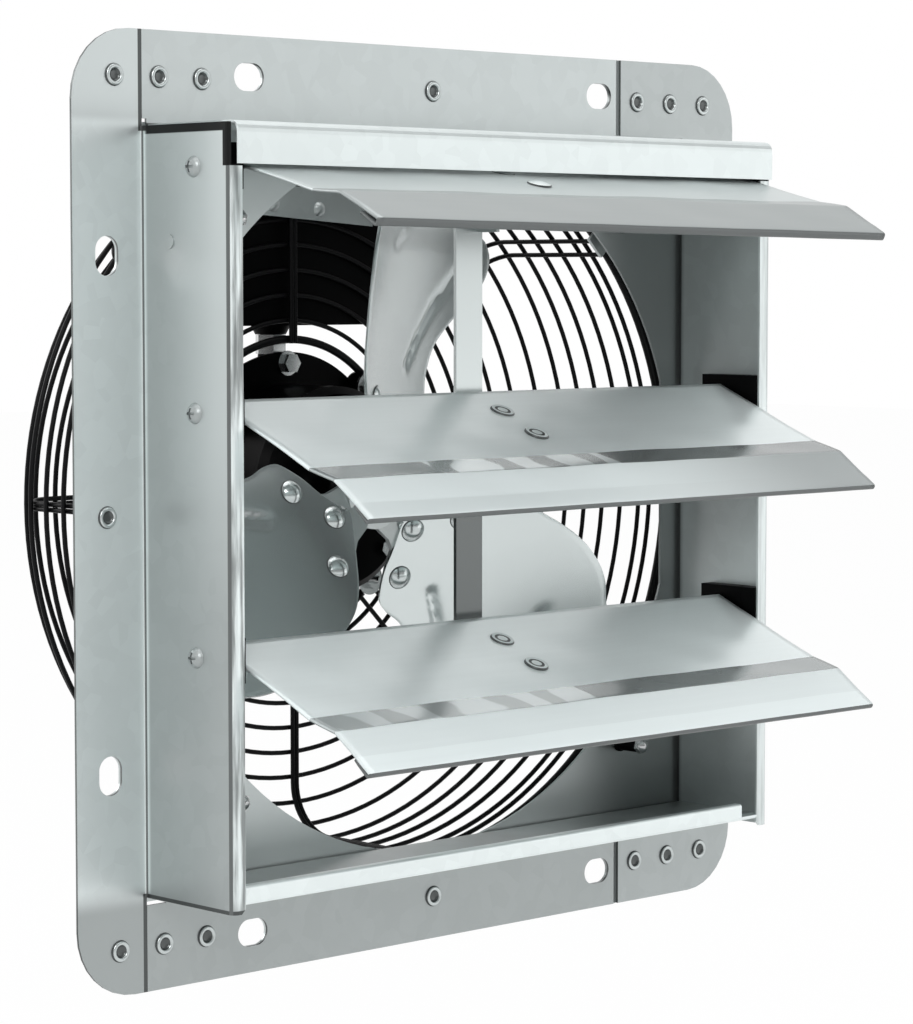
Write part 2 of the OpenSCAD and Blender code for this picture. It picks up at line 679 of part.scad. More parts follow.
module hub_boss() {
  y0 = blade_y + spider_y1 + 0.45;
  nose_y = blade_y + spider_y0 - 3;
  color(steel) difference() {
    union() {
      cyl_y(7, nose_y, y0);
      cyl_y(hub_r, y0, y0 + hub_l);
    }
    cyl_y(shaft_r + fit, 0, 90);
    translate([0, y0 + hub_l / 2, 0]) cylinder(r = 2.02, h = 30);
  }
}
module set_screw() {
  y0 = blade_y + spider_y1 + 0.45;
  color(steel) translate([0, y0 + hub_l / 2, shaft_r - 0.4]) difference() {
    cylinder(r = 2, h = hub_r - shaft_r);
    translate([0, 0, 3]) cylinder(r = 1, h = 10, $fn = 6);
  }
}

// Motor
bell_front = motor_y0 - bell_h;
bell_rear = motor_y1 + bell_h + 2;
shell_in = motor_r - motor_wall;
skirt = 6;
module motor_shaft() {
  flat_y = blade_y + spider_y1 + 1;
  color(steel) difference() {
    cyl_y(shaft_r, blade_y - 6, bell_rear - 4);
    translate([-shaft_r, flat_y - 2, shaft_r - 0.5]) cube([2 * shaft_r, hub_l + 2, shaft_r]);
  }
}
core_y0 = motor_y0 + 10;
core_y1 = motor_y1 - 10;
module rotor_core() {
  color(steel) difference() {
    cyl_y(stator_r - air_gap, core_y0 - 0.5, core_y1 + 0.5);
    cyl_y(shaft_r + fit, 0, 120);
  }
}
module bearing(y0) {
  color(steel) difference() {
    cyl_y(bearing_r, y0, y0 + bearing_w);
    cyl_y(shaft_r + fit, y0 - 1, y0 + bearing_w + 1);
  }
}
front_seat = bell_front + 3;
rear_seat = bell_rear - 3;
module front_bearing() { bearing(front_seat); }
module rear_bearing() { bearing(rear_seat - bearing_w); }
module motor_shell() {
  flange_y = guard_disc_y + disc_t + touch;
  color(black) difference() {
    around_y() polygon([[shell_in, motor_y0], [motor_r, motor_y0], [motor_r, flange_y],
      [motor_flange_r, flange_y], [motor_flange_r, flange_y + 2], [motor_r, flange_y + 2],
      [motor_r, motor_y1], [shell_in, motor_y1]]);
    four_corners() translate([clamp_r, 0, 0]) cyl_y(5.2, flange_y - 1, flange_y + 3);
    for (a = [0 : 90 : 270]) polar(flange_bolt_r, a) cyl_y(2 + touch, flange_y - 1, flange_y + 3);
    translate([0, conduit_y, 0]) cylinder(r = conduit_r + touch, h = motor_r + 5);
  }
}
module bell(y_out, y_edge, dir, hole) {
  y = [y_out, y_out + dir * 3, y_edge - dir * touch, y_edge + dir * skirt];
  color(black) difference() {
    around_y() polygon([[hole, y[0]], [motor_r - 3, y[0]], [motor_r, y[0] + dir * 2.5],
      [motor_r, y[2]], [shell_in - touch, y[2]], [shell_in - touch, y[3]], [shell_in - 3, y[3]],
      [shell_in - 3, y[1]], [bearing_r + 3, y[1]], [bearing_r + 3, y[1] + dir * bearing_w],
      [bearing_r + fit, y[1] + dir * bearing_w], [bearing_r + fit, y[1]], [hole, y[1]]]);
    four_corners() translate([through_r, 0, 0]) cyl_y(1.8, min(y_out, y_edge) - 10, max(y_out, y_edge) + 10);
  }
}
module front_end_bell() { bell(bell_front, motor_y0, 1, shaft_r + 0.4); }
module rear_end_bell() { bell(bell_rear, motor_y1, -1, 0); }
module stator_core() {
  color(steel) difference() {
    cyl_y(shell_in - touch, core_y0, core_y1);
    cyl_y(stator_r, core_y0 - 1, core_y1 + 1);
    four_corners() translate([through_r, 0, 0]) cyl_y(1.8, core_y0 - 1, core_y1 + 1);
  }
}
module stator_windings() {
  color([0.6, 0.3, 0.15]) for (y = [core_y0 - 3.3, core_y1 + 0.1])
    around_y() translate([stator_r + 1.2, y]) square([6, 3.2]);
}
module through_bolts() {
  color(steel) four_corners() translate([through_r, 0, 0]) {
    cyl_y(1.7, bell_front - 1, bell_rear + 3);
    hex_y(5.5, bell_front - 2.6, bell_front);
    hex_y(5.5, bell_rear, bell_rear + 2.4);
  }
}

// Motor mounting on the guard's inner ring
ring_back = ring_d / 2;
strut_y = guard_y - ring_d / 2 - strut_d / 2;
inner_ring_y = strut_y + strut_d / 2 + inner_ring_d / 2 + fit;
guard_disc_y = inner_ring_y + inner_ring_d / 2 + fit;
strut_face = strut_y - strut_d / 2;
module mounting_disc() {
  color(black) difference() {
    union() {
      cyl_y(disc_r, guard_disc_y, guard_disc_y + disc_t);
      four_corners() translate([clamp_r, 0, 0]) cyl_y(clamp_washer_r, guard_disc_y, guard_disc_y + disc_t);
    }
    cyl_y(motor_r + touch, guard_disc_y - 1, guard_disc_y + disc_t + 1);
    four_corners() translate([clamp_r, 0, 0]) cyl_y(1.75, guard_disc_y - 1, guard_disc_y + disc_t + 1);
    for (a = [0 : 90 : 270]) polar(flange_bolt_r, a)
      cyl_y(2 + touch, guard_disc_y - 1, guard_disc_y + disc_t + 1);
  }
}
module disc_bolts() {
  color(steel) for (a = [0 : 90 : 270]) polar(flange_bolt_r, a) {
    cyl_y(2, guard_disc_y - 2, guard_disc_y + disc_t + 2.4);
    cyl_y(5, guard_disc_y - 1, guard_disc_y);
    hex_y(7, guard_disc_y - 4, guard_disc_y - 1);
  }
}
module clamp_washers() {
  color(steel) four_corners() translate([clamp_r, 0, 0]) difference() {
    cyl_y(clamp_washer_r, strut_face - 1.2 - touch, strut_face - touch);
    cyl_y(1.75, strut_face - 3, strut_face + 1);
  }
}
module clamp_nuts() {
  y1 = strut_face - 1.2 - touch;
  color(steel) four_corners() translate([clamp_r, 0, 0]) difference() {
    hex_y(7, y1 - 3, y1);
    cyl_y(1.75, y1 - 4, y1 + 1);
  }
}
module clamp_bolts() {
  color(steel) four_corners() translate([clamp_r, 0, 0]) {
    cyl_y(1.7, strut_face - 8, guard_disc_y + disc_t + 1);
    hex_y(7, guard_disc_y + disc_t, guard_disc_y + disc_t + 2.8);
  }
}

// Wire guard: rings follow the guard's outline, from the flat back over the bend to the side
flat_r = guard_r - guard_bend;
side_y = guard_y - guard_bend;
bend_len = guard_bend * PI / 2;
function guard_point(s) =
  s < flat_r ? [s, guard_y] :
  s < flat_r + bend_len ?
    [flat_r, side_y] + guard_bend * [sin((s - flat_r) / guard_bend * 180 / PI),
                                     cos((s - flat_r) / guard_bend * 180 / PI)] :
  [guard_r, side_y - (s - flat_r - bend_len)];
back_count = floor((flat_r - ring_first) / ring_pitch) + 1;
side_count = 7;
module ring(p, d) { around_y() translate(p) circle(d = d, $fn = 16); }
module guard_back_rings() {
  color(black) {
    ring([inner_ring_r, inner_ring_y], inner_ring_d);
    for (k = [0 : back_count - 1]) ring(guard_point(ring_first + k * ring_pitch) + [0, fit], ring_d);
  }
}
module guard_side_rings() {
  color(black) {
    for (k = [0 : side_count - 1]) ring(guard_point(side_first + k * side_pitch) + [fit, fit], ring_d);
    ring([guard_r + fit, edge_ring_y], ring_d);
  }
}
module guard_base_ring() { color(black) ring([base_ring_r, base_ring_y], base_ring_d); }
module guard_struts() {
  in_bend = guard_bend - ring_d / 2 - strut_d / 2;
  strut_r = flat_r + in_bend;
  strut_in = inner_ring_r - 1.6;
  foot = base_ring_y + base_ring_d / 2 + touch;
  color(black) for (a = [0 : 45 : 315]) rotate([0, -a, 0])
    for (z = a % 90 == 0 ? [-strut_gap / 2, strut_gap / 2] : [-wide_gap, 0]) translate([0, 0, z]) {
      leg_x = round(1000 * sqrt(strut_r * strut_r - z * z)) / 1000;
      bend_x = leg_x - in_bend;
      translate([leg_x, 0, 0]) cyl_y(strut_d / 2, foot, side_y, $fn = 16);
      translate([bend_x, side_y, 0]) rotate_extrude(angle = 90) translate([in_bend, 0])
        circle(d = strut_d, $fn = 16);
      translate([0, strut_y, 0]) cyl_x(strut_d / 2, strut_in, bend_x, $fn = 16);
    }
}
module guard_lugs() {
  lug_t = 1.5;
  lug_w = 10;
  high = base_ring_y - base_ring_d / 2 - touch - lug_t;
  color(galvanised) four_corners() difference() {
    translate([0, 0, -lug_w / 2]) linear_extrude(lug_w) polygon(sheet_outline(
      [[base_ring_r - 6, high], [base_ring_r + 1, high], [base_ring_r + 3, plate_y],
       [guard_screw_r + 7, plate_y]], [1, lug_t + 0.3], 0, lug_t));
    translate([guard_screw_r, 0, 0]) cyl_y(guard_screw + pin_clear, 0, 20);
  }
}
module guard_screws() {
  head_h = 2.4;
  lug_back = plate_y + 1.5;
  color(steel) four_corners() translate([guard_screw_r, 0, 0]) {
    cyl_y(guard_screw, sheet_t - sleeve_l - 2, lug_back + 1);
    cyl_y(3.4, lug_back, lug_back + head_h);
  }
}
module guard_sleeves() {
  color(black) four_corners() translate([guard_screw_r, 0, 0]) around_y()
    polygon([[guard_screw + pin_clear, sheet_t - sleeve_l], [2.8, sheet_t - sleeve_l],
      [2.8, sheet_t - 1.5], [3.4, sheet_t - 1], [3.4, sheet_t], [guard_screw + pin_clear, sheet_t]]);
}
module guard_dome_nuts() {
  y1 = sheet_t - sleeve_l;
  color(steel) four_corners() translate([guard_screw_r, 0, 0]) difference() {
    union() {
      hex_y(5.6, y1 - 2, y1);
      translate([0, y1 - 2, 0]) around_y() polygon(concat(dome(2.8, 1.8), [[0, 0]]));
    }
    cyl_y(guard_screw + fit, y1 - 2.1, y1 + 1);
  }
}

// Junction box behind the guard
jbox_y0 = guard_y + ring_d / 2 + 2 * fit + 0.1;
jbox_y1 = jbox_y0 + jbox_d;
lid_screw_inset = 7;
module box_corners() {
  for (sx = [-1, 1]) for (z = [jbox_z0 + lid_screw_inset, jbox_z1 - lid_screw_inset])
    translate([sx * (jbox_x - lid_screw_inset), 0, z]) children();
}
module rounded_box(x, z0, z1, y0, y1, r) {
  along_y(y0, y1) translate([0, (z0 + z1) / 2]) offset_box(x, (z1 - z0) / 2, r);
}
module offset_box(hx, hz, r) {
  polygon([for (q = [0 : 3]) for (k = [0 : 4])
    [(hx - r) * sign(cos(45 + 90 * q)), (hz - r) * sign(sin(45 + 90 * q))]
      + r * [cos(90 * q + 22.5 * k), sin(90 * q + 22.5 * k)]]);
}
module on_strap() { translate([0, 0, strap_z]) rotate([0, strap_tilt, 0]) children(); }
module junction_box() {
  w = jbox_wall;
  boss_r = 4;
  color(black) difference() {
    union() {
      difference() {
        rounded_box(jbox_x, jbox_z0, jbox_z1, jbox_y0, jbox_y1, 3);
        rounded_box(jbox_x - w, jbox_z0 + w, jbox_z1 - w, jbox_y0 + w, jbox_y1 + 1, 1.5);
      }
      box_corners() cyl_y(boss_r, jbox_y0 + w - eps, jbox_y1);
    }
    box_corners() cyl_y(1.5, jbox_y1 - 12, jbox_y1 + 1);
    translate([0, conduit_y, jbox_z0 - 1]) cylinder(r = conduit_neck + touch, h = w + 2);
    for (s = [-1, 1]) on_strap() translate([s * strap_screw_x, 0, -strap_screw_z])
      cyl_y(1.5 + touch, jbox_y0 - 1, jbox_y0 + w + 1);
    translate([0, gland_y, gland_z]) cyl_x(5 + touch, jbox_x - w - 1, jbox_x + 1);
  }
}
module box_lid() {
  color(black) difference() {
    rounded_box(jbox_x, jbox_z0, jbox_z1, jbox_y1, jbox_y1 + lid_t, 3);
    box_corners() cyl_y(1.6, jbox_y1 - 1, jbox_y1 + lid_t + 1);
  }
}
module lid_screws() {
  color(steel) box_corners() {
    cyl_y(1.45, jbox_y1 - 10, jbox_y1 + lid_t + 0.5);
    translate([0, jbox_y1 + lid_t, 0]) rotate([180, 0, 0]) around_y()
      polygon(concat(dome(3, 1.8), [[0, 0]]));
  }
}
strap_t = 1.2;
strap_y1 = strut_face - touch;
module box_strap() {
  color(galvanised) on_strap() difference() {
    translate([-strap_x, strap_y1 - strap_t, -strap_h / 2]) cube([2 * strap_x, strap_t, strap_h]);
    for (s = [-1, 1]) translate([s * strap_screw_x, 0, -strap_screw_z]) cyl_y(1.6, 0, strap_y1 + 1);
  }
}
module strap_screws() {
  color(steel) on_strap() for (s = [-1, 1]) translate([s * strap_screw_x, 0, -strap_screw_z]) {
    cyl_y(1.5, strap_y1 - strap_t - 1, jbox_y0 + jbox_wall + 3);
    translate([0, strap_y1 - strap_t, 0]) around_y() polygon(concat(dome(3, 1.8), [[0, 0]]));
  }
}

// Conduit between the motor and the box, with its coupling nut and lock nut
conduit_r = 5.2;
conduit_neck = 4.2;
conduit_bore = 3;
nut_z0 = 53;
module conduit() {
  color(black) translate([0, conduit_y, 0]) rotate_extrude() polygon([
    [conduit_bore, motor_r - 1.3], [conduit_r, motor_r - 1.3], [conduit_r, nut_z0], [conduit_neck, nut_z0],
    [conduit_neck, jbox_z0 - 3.6], [6.2, jbox_z0 - 3.6], [8, jbox_z0 - touch],
    [conduit_neck, jbox_z0 - touch], [conduit_neck, jbox_z0 + 6], [conduit_bore, jbox_z0 + 6]]);
}
module conduit_nuts() {
  z_in = jbox_z0 + jbox_wall;
  color(steel) translate([0, conduit_y, 0]) difference() {
    union() {
      translate([0, 0, nut_z0 + touch]) cylinder(d = 12.8, h = jbox_z0 - 3.7 - nut_z0 - 2 * touch, $fn = 6);
      translate([0, 0, z_in]) cylinder(d = 13, h = 3, $fn = 6);
    }
    cylinder(r = conduit_neck + touch, h = 200);
  }
}
gland_y = jbox_y0 + 22;
gland_z = jbox_z0 + 22;
module supply_gland() {
  out = 9;
  color(black) translate([0, gland_y, gland_z]) difference() {
    union() {
      cyl_x(5, jbox_x - jbox_wall - 3, jbox_x + 1);
      cyl_x(8, jbox_x, jbox_x + out);
      translate([jbox_x + out - eps, 0, 0]) cyl_x(6.5, 0, 4);
    }
    cyl_x(3.5, jbox_x - 20, jbox_x + out + 10);
  }
}
module capacitor() {
  length = 36;
  color([0.85, 0.85, 0.83]) translate([-length - 1, jbox_y0 + jbox_wall, jbox_z0 + 26])
    cube([length, 26, 18]);
}

left_panel();
right_panel();
top_panel();
bottom_panel();
orifice_plate();
flange_rivets();
pivot_bushings();
pivot_screws();
louver_top();
louver_middle();
louver_bottom();
link_bracket_top();
link_bracket_middle();
link_bracket_bottom();
bracket_rivets_top();
bracket_rivets_middle();
bracket_rivets_bottom();
tie_bar();
link_pin_top();
link_pin_middle();
link_pin_bottom();
spider();
hub_boss();
set_screw();
blade_1();
blade_2();
blade_3();
blade_rivets();
motor_shaft();
rotor_core();
front_bearing();
rear_bearing();
motor_shell();
front_end_bell();
rear_end_bell();
stator_core();
stator_windings();
through_bolts();
mounting_disc();
disc_bolts();
clamp_bolts();
clamp_washers();
clamp_nuts();
guard_back_rings();
guard_side_rings();
guard_base_ring();
guard_struts();
guard_lugs();
guard_screws();
guard_sleeves();
guard_dome_nuts();
junction_box();
box_lid();
lid_screws();
box_strap();
strap_screws();
conduit();
conduit_nuts();
supply_gland();
capacitor();
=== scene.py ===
# %% [markdown]
# # A wall exhaust fan, dressed for its photograph
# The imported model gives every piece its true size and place. This lesson adds what exact solids
# can't give: smooth wires, pressed blades, sheet metal finishes, soft light and the camera.
# X points to the right of the fan, Y away from the room and Z up; sizes are in millimetres.

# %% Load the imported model
import math

import bmesh
import bpy
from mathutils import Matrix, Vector


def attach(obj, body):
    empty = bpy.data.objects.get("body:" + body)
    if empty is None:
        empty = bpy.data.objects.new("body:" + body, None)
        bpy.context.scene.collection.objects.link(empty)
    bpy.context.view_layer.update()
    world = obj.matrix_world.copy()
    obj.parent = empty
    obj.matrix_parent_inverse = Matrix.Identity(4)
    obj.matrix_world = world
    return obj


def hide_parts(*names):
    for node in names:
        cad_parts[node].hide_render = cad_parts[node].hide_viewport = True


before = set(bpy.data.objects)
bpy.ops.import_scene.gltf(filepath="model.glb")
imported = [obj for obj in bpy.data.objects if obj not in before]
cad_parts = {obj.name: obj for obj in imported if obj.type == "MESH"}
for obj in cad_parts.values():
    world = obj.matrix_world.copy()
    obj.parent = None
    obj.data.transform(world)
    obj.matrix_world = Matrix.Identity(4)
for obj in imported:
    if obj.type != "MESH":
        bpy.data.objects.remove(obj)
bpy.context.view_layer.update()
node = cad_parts
MM = 0.001
print("CAD nodes:", len(node))

# %% [markdown]
# ## Camera
# The photograph looks at the fan from 43.6 degrees to its left and 4 degrees above. Its place and
# lens were worked out from the flange, the slots and the rivets, so the render lies on the photo.

# %% Camera
LENS, SENSOR = 129.87, 36.0
CAMERA_PLACE = (-0.85824, -0.91296, 0.08327)
CAMERA_LOOK = (0.68840, 0.72187, -0.07080)


def put(name, data):
    made = bpy.data.objects.new(name, data)
    bpy.context.scene.collection.objects.link(made)
    return made


camera_data = bpy.data.cameras.new("camera")
camera_data.sensor_fit = "HORIZONTAL"
camera_data.sensor_width = SENSOR
camera_data.lens = LENS
camera = put("camera", camera_data)
camera.location = CAMERA_PLACE
camera.rotation_euler = Vector(CAMERA_LOOK).to_track_quat("-Z", "Y").to_euler()
bpy.context.scene.camera = camera
bpy.context.scene.view_settings.view_transform = "Standard"
print("camera at", tuple(camera.location))

# %% [markdown]
# ## Node helpers
# Shader trees are long when each node is written out. Two helpers carry most of them: one for a
# sum or a comparison, one that mixes two colours by a mask.


# %% Node helpers
def math_node(tree, operation, first, second):
    step = tree.nodes.new("ShaderNodeMath")
    step.operation = operation
    for place, value in enumerate((first, second)):
        if isinstance(value, (int, float)):
            step.inputs[place].default_value = value
        else:
            tree.links.new(value, step.inputs[place])
    return step.outputs[0]


def mixed(tree, mask, near, far):
    mix = tree.nodes.new("ShaderNodeMix")
    mix.data_type = "RGBA"
    tree.links.new(mask, mix.inputs["Factor"])
    for label, colour in (("A", near), ("B", far)):
        socket = [i for i in mix.inputs if i.name == label and i.type == "RGBA"][0]
        if isinstance(colour, tuple):
            socket.default_value = (*colour, 1)
        else:
            tree.links.new(colour, socket)
    return [o for o in mix.outputs if o.type == "RGBA"][0]


# %% [markdown]
# ## Background and soft light
# A product photo has a white ground and large soft lamps. The world is white where the camera or a
# reflection looks at it, and a plain grey light otherwise, so the metal isn't washed out. Sheet
# that faces the room in front mirrors a dimmer tone than the bright background behind the fan.

# %% World
AMBIENT, AMBIENT_STRENGTH = (0.95, 0.98, 1.0), 0.55
WHITE, ROOM_TONE = (1.0, 1.0, 1.0), (0.45, 0.45, 0.45)
ROOM_FROM, ROOM_TO = -0.1, 0.45

world = bpy.data.worlds.new("studio")
bpy.context.scene.world = world
world.use_nodes = True
sky = world.node_tree
sky.nodes.clear()
ray = sky.nodes.new("ShaderNodeLightPath")
looked_at = math_node(sky, "MAXIMUM", ray.outputs["Is Camera Ray"], ray.outputs["Is Glossy Ray"])
looked_at = math_node(sky, "MAXIMUM", looked_at, ray.outputs["Is Transmission Ray"])
toward = sky.nodes.new("ShaderNodeTexCoord")
facing = sky.nodes.new("ShaderNodeVectorMath")
facing.operation = "DOT_PRODUCT"
facing.inputs[1].default_value = (0.0, -1.0, 0.0)
sky.links.new(toward.outputs["Generated"], facing.inputs[0])
room = sky.nodes.new("ShaderNodeMapRange")
room.interpolation_type = "SMOOTHSTEP"
room.inputs["From Min"].default_value = ROOM_FROM
room.inputs["From Max"].default_value = ROOM_TO
sky.links.new(facing.outputs["Value"], room.inputs["Value"])
mirrored = math_node(sky, "MULTIPLY", room.outputs[0], ray.outputs["Is Glossy Ray"])
soft_light = sky.nodes.new("ShaderNodeBackground")
soft_light.inputs["Color"].default_value = (*AMBIENT, 1)
soft_light.inputs["Strength"].default_value = AMBIENT_STRENGTH
white_ground = sky.nodes.new("ShaderNodeBackground")
sky.links.new(mixed(sky, mirrored, WHITE, ROOM_TONE), white_ground.inputs["Color"])
choose = sky.nodes.new("ShaderNodeMixShader")
sky.links.new(looked_at, choose.inputs[0])
sky.links.new(soft_light.outputs[0], choose.inputs[1])
sky.links.new(white_ground.outputs[0], choose.inputs[2])
world_out = sky.nodes.new("ShaderNodeOutputWorld")
sky.links.new(choose.outputs[0], world_out.inputs[0])
print("world nodes:", len(sky.nodes))

# %% [markdown]
# ## Lamps
# Four square lamps, each wider than the fan, give shadows with soft edges. The one on the camera's
# left is the brightest; the rear one keeps the guard from turning into a flat black.

# %% Lamps
LAMPS = {  # place in metres, width in metres, watts
    "key": ((-1.3, -1.5, 1.1), 0.9, 17),
    "fill": ((1.4, -1.3, 0.3), 1.2, 4),
    "top": ((0, -0.3, 1.6), 1.4, 9),
    "rear": ((-0.9, 1.5, 0.8), 1.0, 9),
}
for name, (place, width, watts) in LAMPS.items():
    lamp_data = bpy.data.lights.new(name, "AREA")
    lamp_data.shape = "SQUARE"
    lamp_data.size = width
    lamp_data.energy = watts
    lamp = put(name, lamp_data)
    lamp.location = place
    lamp.rotation_euler = (-Vector(place)).to_track_quat("-Z", "Y").to_euler()
print("lamps:", len(LAMPS))

# %% [markdown]
# ## Shared surface effects
# Galvanised sheet shows zinc crystals, and rolled aluminium has fine lines and shallow waves. Each
# effect is a shader node group that gives out masks only, so each material uses its own amount.


# %% Group helper
def new_group(name, inputs, outputs):
    group = bpy.data.node_groups.new(name, "ShaderNodeTree")
    for label, kind, value in inputs:
        socket = group.interface.new_socket(label, in_out="INPUT", socket_type=kind)
        if value is not None:
            socket.default_value = value
    for label, kind in outputs:
        group.interface.new_socket(label, in_out="OUTPUT", socket_type=kind)
    start = group.nodes.new("NodeGroupInput")
    end = group.nodes.new("NodeGroupOutput")
    return group, start, end


def stretched(tree, vector, factors):
    stretch = tree.nodes.new("ShaderNodeVectorMath")
    stretch.operation = "MULTIPLY"
    stretch.inputs[1].default_value = factors
    tree.links.new(vector, stretch.inputs[0])
    return stretch.outputs[0]


def noise_node(tree, vector, scale, detail=2.0):
    noise = tree.nodes.new("ShaderNodeTexNoise")
    noise.inputs["Scale"].default_value = scale
    noise.inputs["Detail"].default_value = detail
    tree.links.new(vector, noise.inputs["Vector"])
    return noise.outputs[0]


def tone_around_one(tree, value, middle, amount):
    centred = math_node(tree, "SUBTRACT", value, middle)
    return math_node(tree, "ADD", math_node(tree, "MULTIPLY", centred, amount), 1.0)


# %% [markdown]
# ## Zinc crystals
# Hot-dip zinc cools into flat crystals, each a slightly different grey. Voronoi cells have that
# patchwork, and a slow noise keeps large areas from looking even.


# %% Zinc crystals
def zinc_crystals():
    group, start, end = new_group(
        "zinc_crystals",
        [("Vector", "NodeSocketVector", None), ("Scale", "NodeSocketFloat", 90.0),
         ("Amount", "NodeSocketFloat", 0.1)],
        [("Tone", "NodeSocketFloat")])
    cells = group.nodes.new("ShaderNodeTexVoronoi")
    cells.feature = "F1"
    group.links.new(start.outputs["Vector"], cells.inputs["Vector"])
    group.links.new(start.outputs["Scale"], cells.inputs["Scale"])
    split = group.nodes.new("ShaderNodeSeparateColor")
    group.links.new(cells.outputs["Color"], split.inputs[0])
    clouds = noise_node(group, start.outputs["Vector"], 9.0, 3.0)
    both = math_node(group, "ADD", split.outputs[0], clouds)
    group.links.new(tone_around_one(group, both, 1.0, start.outputs["Amount"]),
                    end.inputs["Tone"])
    return group


CRYSTALS = zinc_crystals()
print("group made:", CRYSTALS.name)

# %% [markdown]
# ## Rolled sheet
# Aluminium from the rolling mill has fine lines along its length and is never quite flat. Noise
# squeezed across the louver makes the lines; a broad noise drives a very low bump.


# %% Rolled sheet lines and waves
def rolled_sheet():
    group, start, end = new_group(
        "rolled_sheet",
        [("Vector", "NodeSocketVector", None), ("Lines", "NodeSocketFloat", 0.05)],
        [("Tone", "NodeSocketFloat"), ("Waves", "NodeSocketFloat")])
    along_x = stretched(group, start.outputs["Vector"], (8.0, 420.0, 420.0))
    fine = noise_node(group, along_x, 1.0)
    group.links.new(tone_around_one(group, fine, 0.5, start.outputs["Lines"]), end.inputs["Tone"])
    group.links.new(noise_node(group, start.outputs["Vector"], 14.0, 1.0), end.inputs["Waves"])
    return group


ROLLED = rolled_sheet()
print("group made:", ROLLED.name)

# %% [markdown]
# ## Mirrored folds
# The short rise between a louver's two folds mirrors the bright wires and gaps behind it in uneven
# patches. A true mirror would need the whole room around it, so distorted bands stand in for it.
# The group says where patches lie, and where the sheet beyond them begins.


# %% Fold patches
def fold_patches():
    group, start, end = new_group(
        "fold_patches",
        [("Vector", "NodeSocketVector", None), ("From", "NodeSocketFloat", -0.08),
         ("To", "NodeSocketFloat", 0.01)],
        [("Patches", "NodeSocketFloat"), ("Beyond", "NodeSocketFloat")])
    bands = group.nodes.new("ShaderNodeTexWave")
    bands.inputs["Scale"].default_value = 13.0
    bands.inputs["Distortion"].default_value = 4.0
    bands.inputs["Detail"].default_value = 1.5
    bands.inputs["Detail Scale"].default_value = 2.5
    group.links.new(start.outputs["Vector"], bands.inputs["Vector"])
    sharp = group.nodes.new("ShaderNodeMapRange")
    sharp.inputs["From Min"].default_value = 0.35
    sharp.inputs["From Max"].default_value = 0.5
    group.links.new(bands.outputs["Fac"], sharp.inputs["Value"])
    split = group.nodes.new("ShaderNodeSeparateXYZ")
    group.links.new(start.outputs["Vector"], split.inputs[0])
    after = math_node(group, "GREATER_THAN", split.outputs[0], start.outputs["From"])
    before = math_node(group, "LESS_THAN", split.outputs[0], start.outputs["To"])
    inside = math_node(group, "MULTIPLY", after, before)
    patches = math_node(group, "MULTIPLY", sharp.outputs[0], inside)
    group.links.new(patches, end.inputs["Patches"])
    group.links.new(math_node(group, "SUBTRACT", 1.0, before), end.inputs["Beyond"])
    return group


FOLDS = fold_patches()
print("group made:", FOLDS.name)

# %% [markdown]
# ## Shade along one direction
# Large sheets mirror the room unevenly: a wall is brighter towards its front, a corner is darker.
# A mask that rises between two places along a direction gives each such change with two numbers.


# %% Reach mask
def reach_mask():
    group, start, end = new_group(
        "reach_mask",
        [("Vector", "NodeSocketVector", None), ("Direction", "NodeSocketVector", None),
         ("From", "NodeSocketFloat", 0.0), ("To", "NodeSocketFloat", 0.1)],
        [("Mask", "NodeSocketFloat")])
    distance = group.nodes.new("ShaderNodeVectorMath")
    distance.operation = "DOT_PRODUCT"
    group.links.new(start.outputs["Vector"], distance.inputs[0])
    group.links.new(start.outputs["Direction"], distance.inputs[1])
    ramp = group.nodes.new("ShaderNodeMapRange")
    ramp.interpolation_type = "SMOOTHSTEP"
    group.links.new(distance.outputs["Value"], ramp.inputs["Value"])
    group.links.new(start.outputs["From"], ramp.inputs["From Min"])
    group.links.new(start.outputs["To"], ramp.inputs["From Max"])
    group.links.new(ramp.outputs[0], end.inputs["Mask"])
    return group


REACH = reach_mask()
FORWARD, BACK, UP, DOWN, RIGHT = (0, -1, 0), (0, 1, 0), (0, 0, 1), (0, 0, -1), (1, 0, 0)
print("group made:", REACH.name)

# %% [markdown]
# ## Cut edges
# The flange strips' cut edges and bends are painted darker than their faces; on the bends, which
# would otherwise catch a highlight, this is painted shade. The surface's own normal tells an edge
# from a face, and the depth keeps the effect off the walls in front of the flange.


# %% Cut edges
def edges_and_bend_shade():
    group, start, end = new_group("edges_and_bend_shade", [("Vector", "NodeSocketVector", None)],
                                  [("Mask", "NodeSocketFloat")])
    coords = group.nodes.new("ShaderNodeTexCoord")
    face = group.nodes.new("ShaderNodeSeparateXYZ")
    group.links.new(coords.outputs["Normal"], face.inputs[0])
    place = group.nodes.new("ShaderNodeSeparateXYZ")
    group.links.new(start.outputs["Vector"], place.inputs[0])
    turned_away = math_node(group, "ABSOLUTE", face.outputs["Y"], 0.0)
    side = math_node(group, "LESS_THAN", turned_away, 0.8)
    strip = math_node(group, "GREATER_THAN", place.outputs["Y"], -0.9 * MM)
    group.links.new(math_node(group, "MULTIPLY", side, strip), end.inputs["Mask"])
    return group


EDGES_AND_BEND_SHADE = edges_and_bend_shade()
print("group made:", EDGES_AND_BEND_SHADE.name)

# %% [markdown]
# ## Scratches
# The left wall's front lip was bent against a tool, which left bright lines that run up and down.
# Noise squeezed sideways makes them.


# %% Scratches
def scratches():
    group, start, end = new_group("scratches", [("Vector", "NodeSocketVector", None)],
                                  [("Mask", "NodeSocketFloat")])
    upright = stretched(group, start.outputs["Vector"], (420.0, 0.0, 26.0))
    ramp = group.nodes.new("ShaderNodeMapRange")
    ramp.interpolation_type = "SMOOTHSTEP"
    ramp.inputs["From Min"].default_value = 0.36
    ramp.inputs["From Max"].default_value = 0.62
    group.links.new(noise_node(group, upright, 1.0, 4.0), ramp.inputs["Value"])
    group.links.new(ramp.outputs[0], end.inputs["Mask"])
    return group


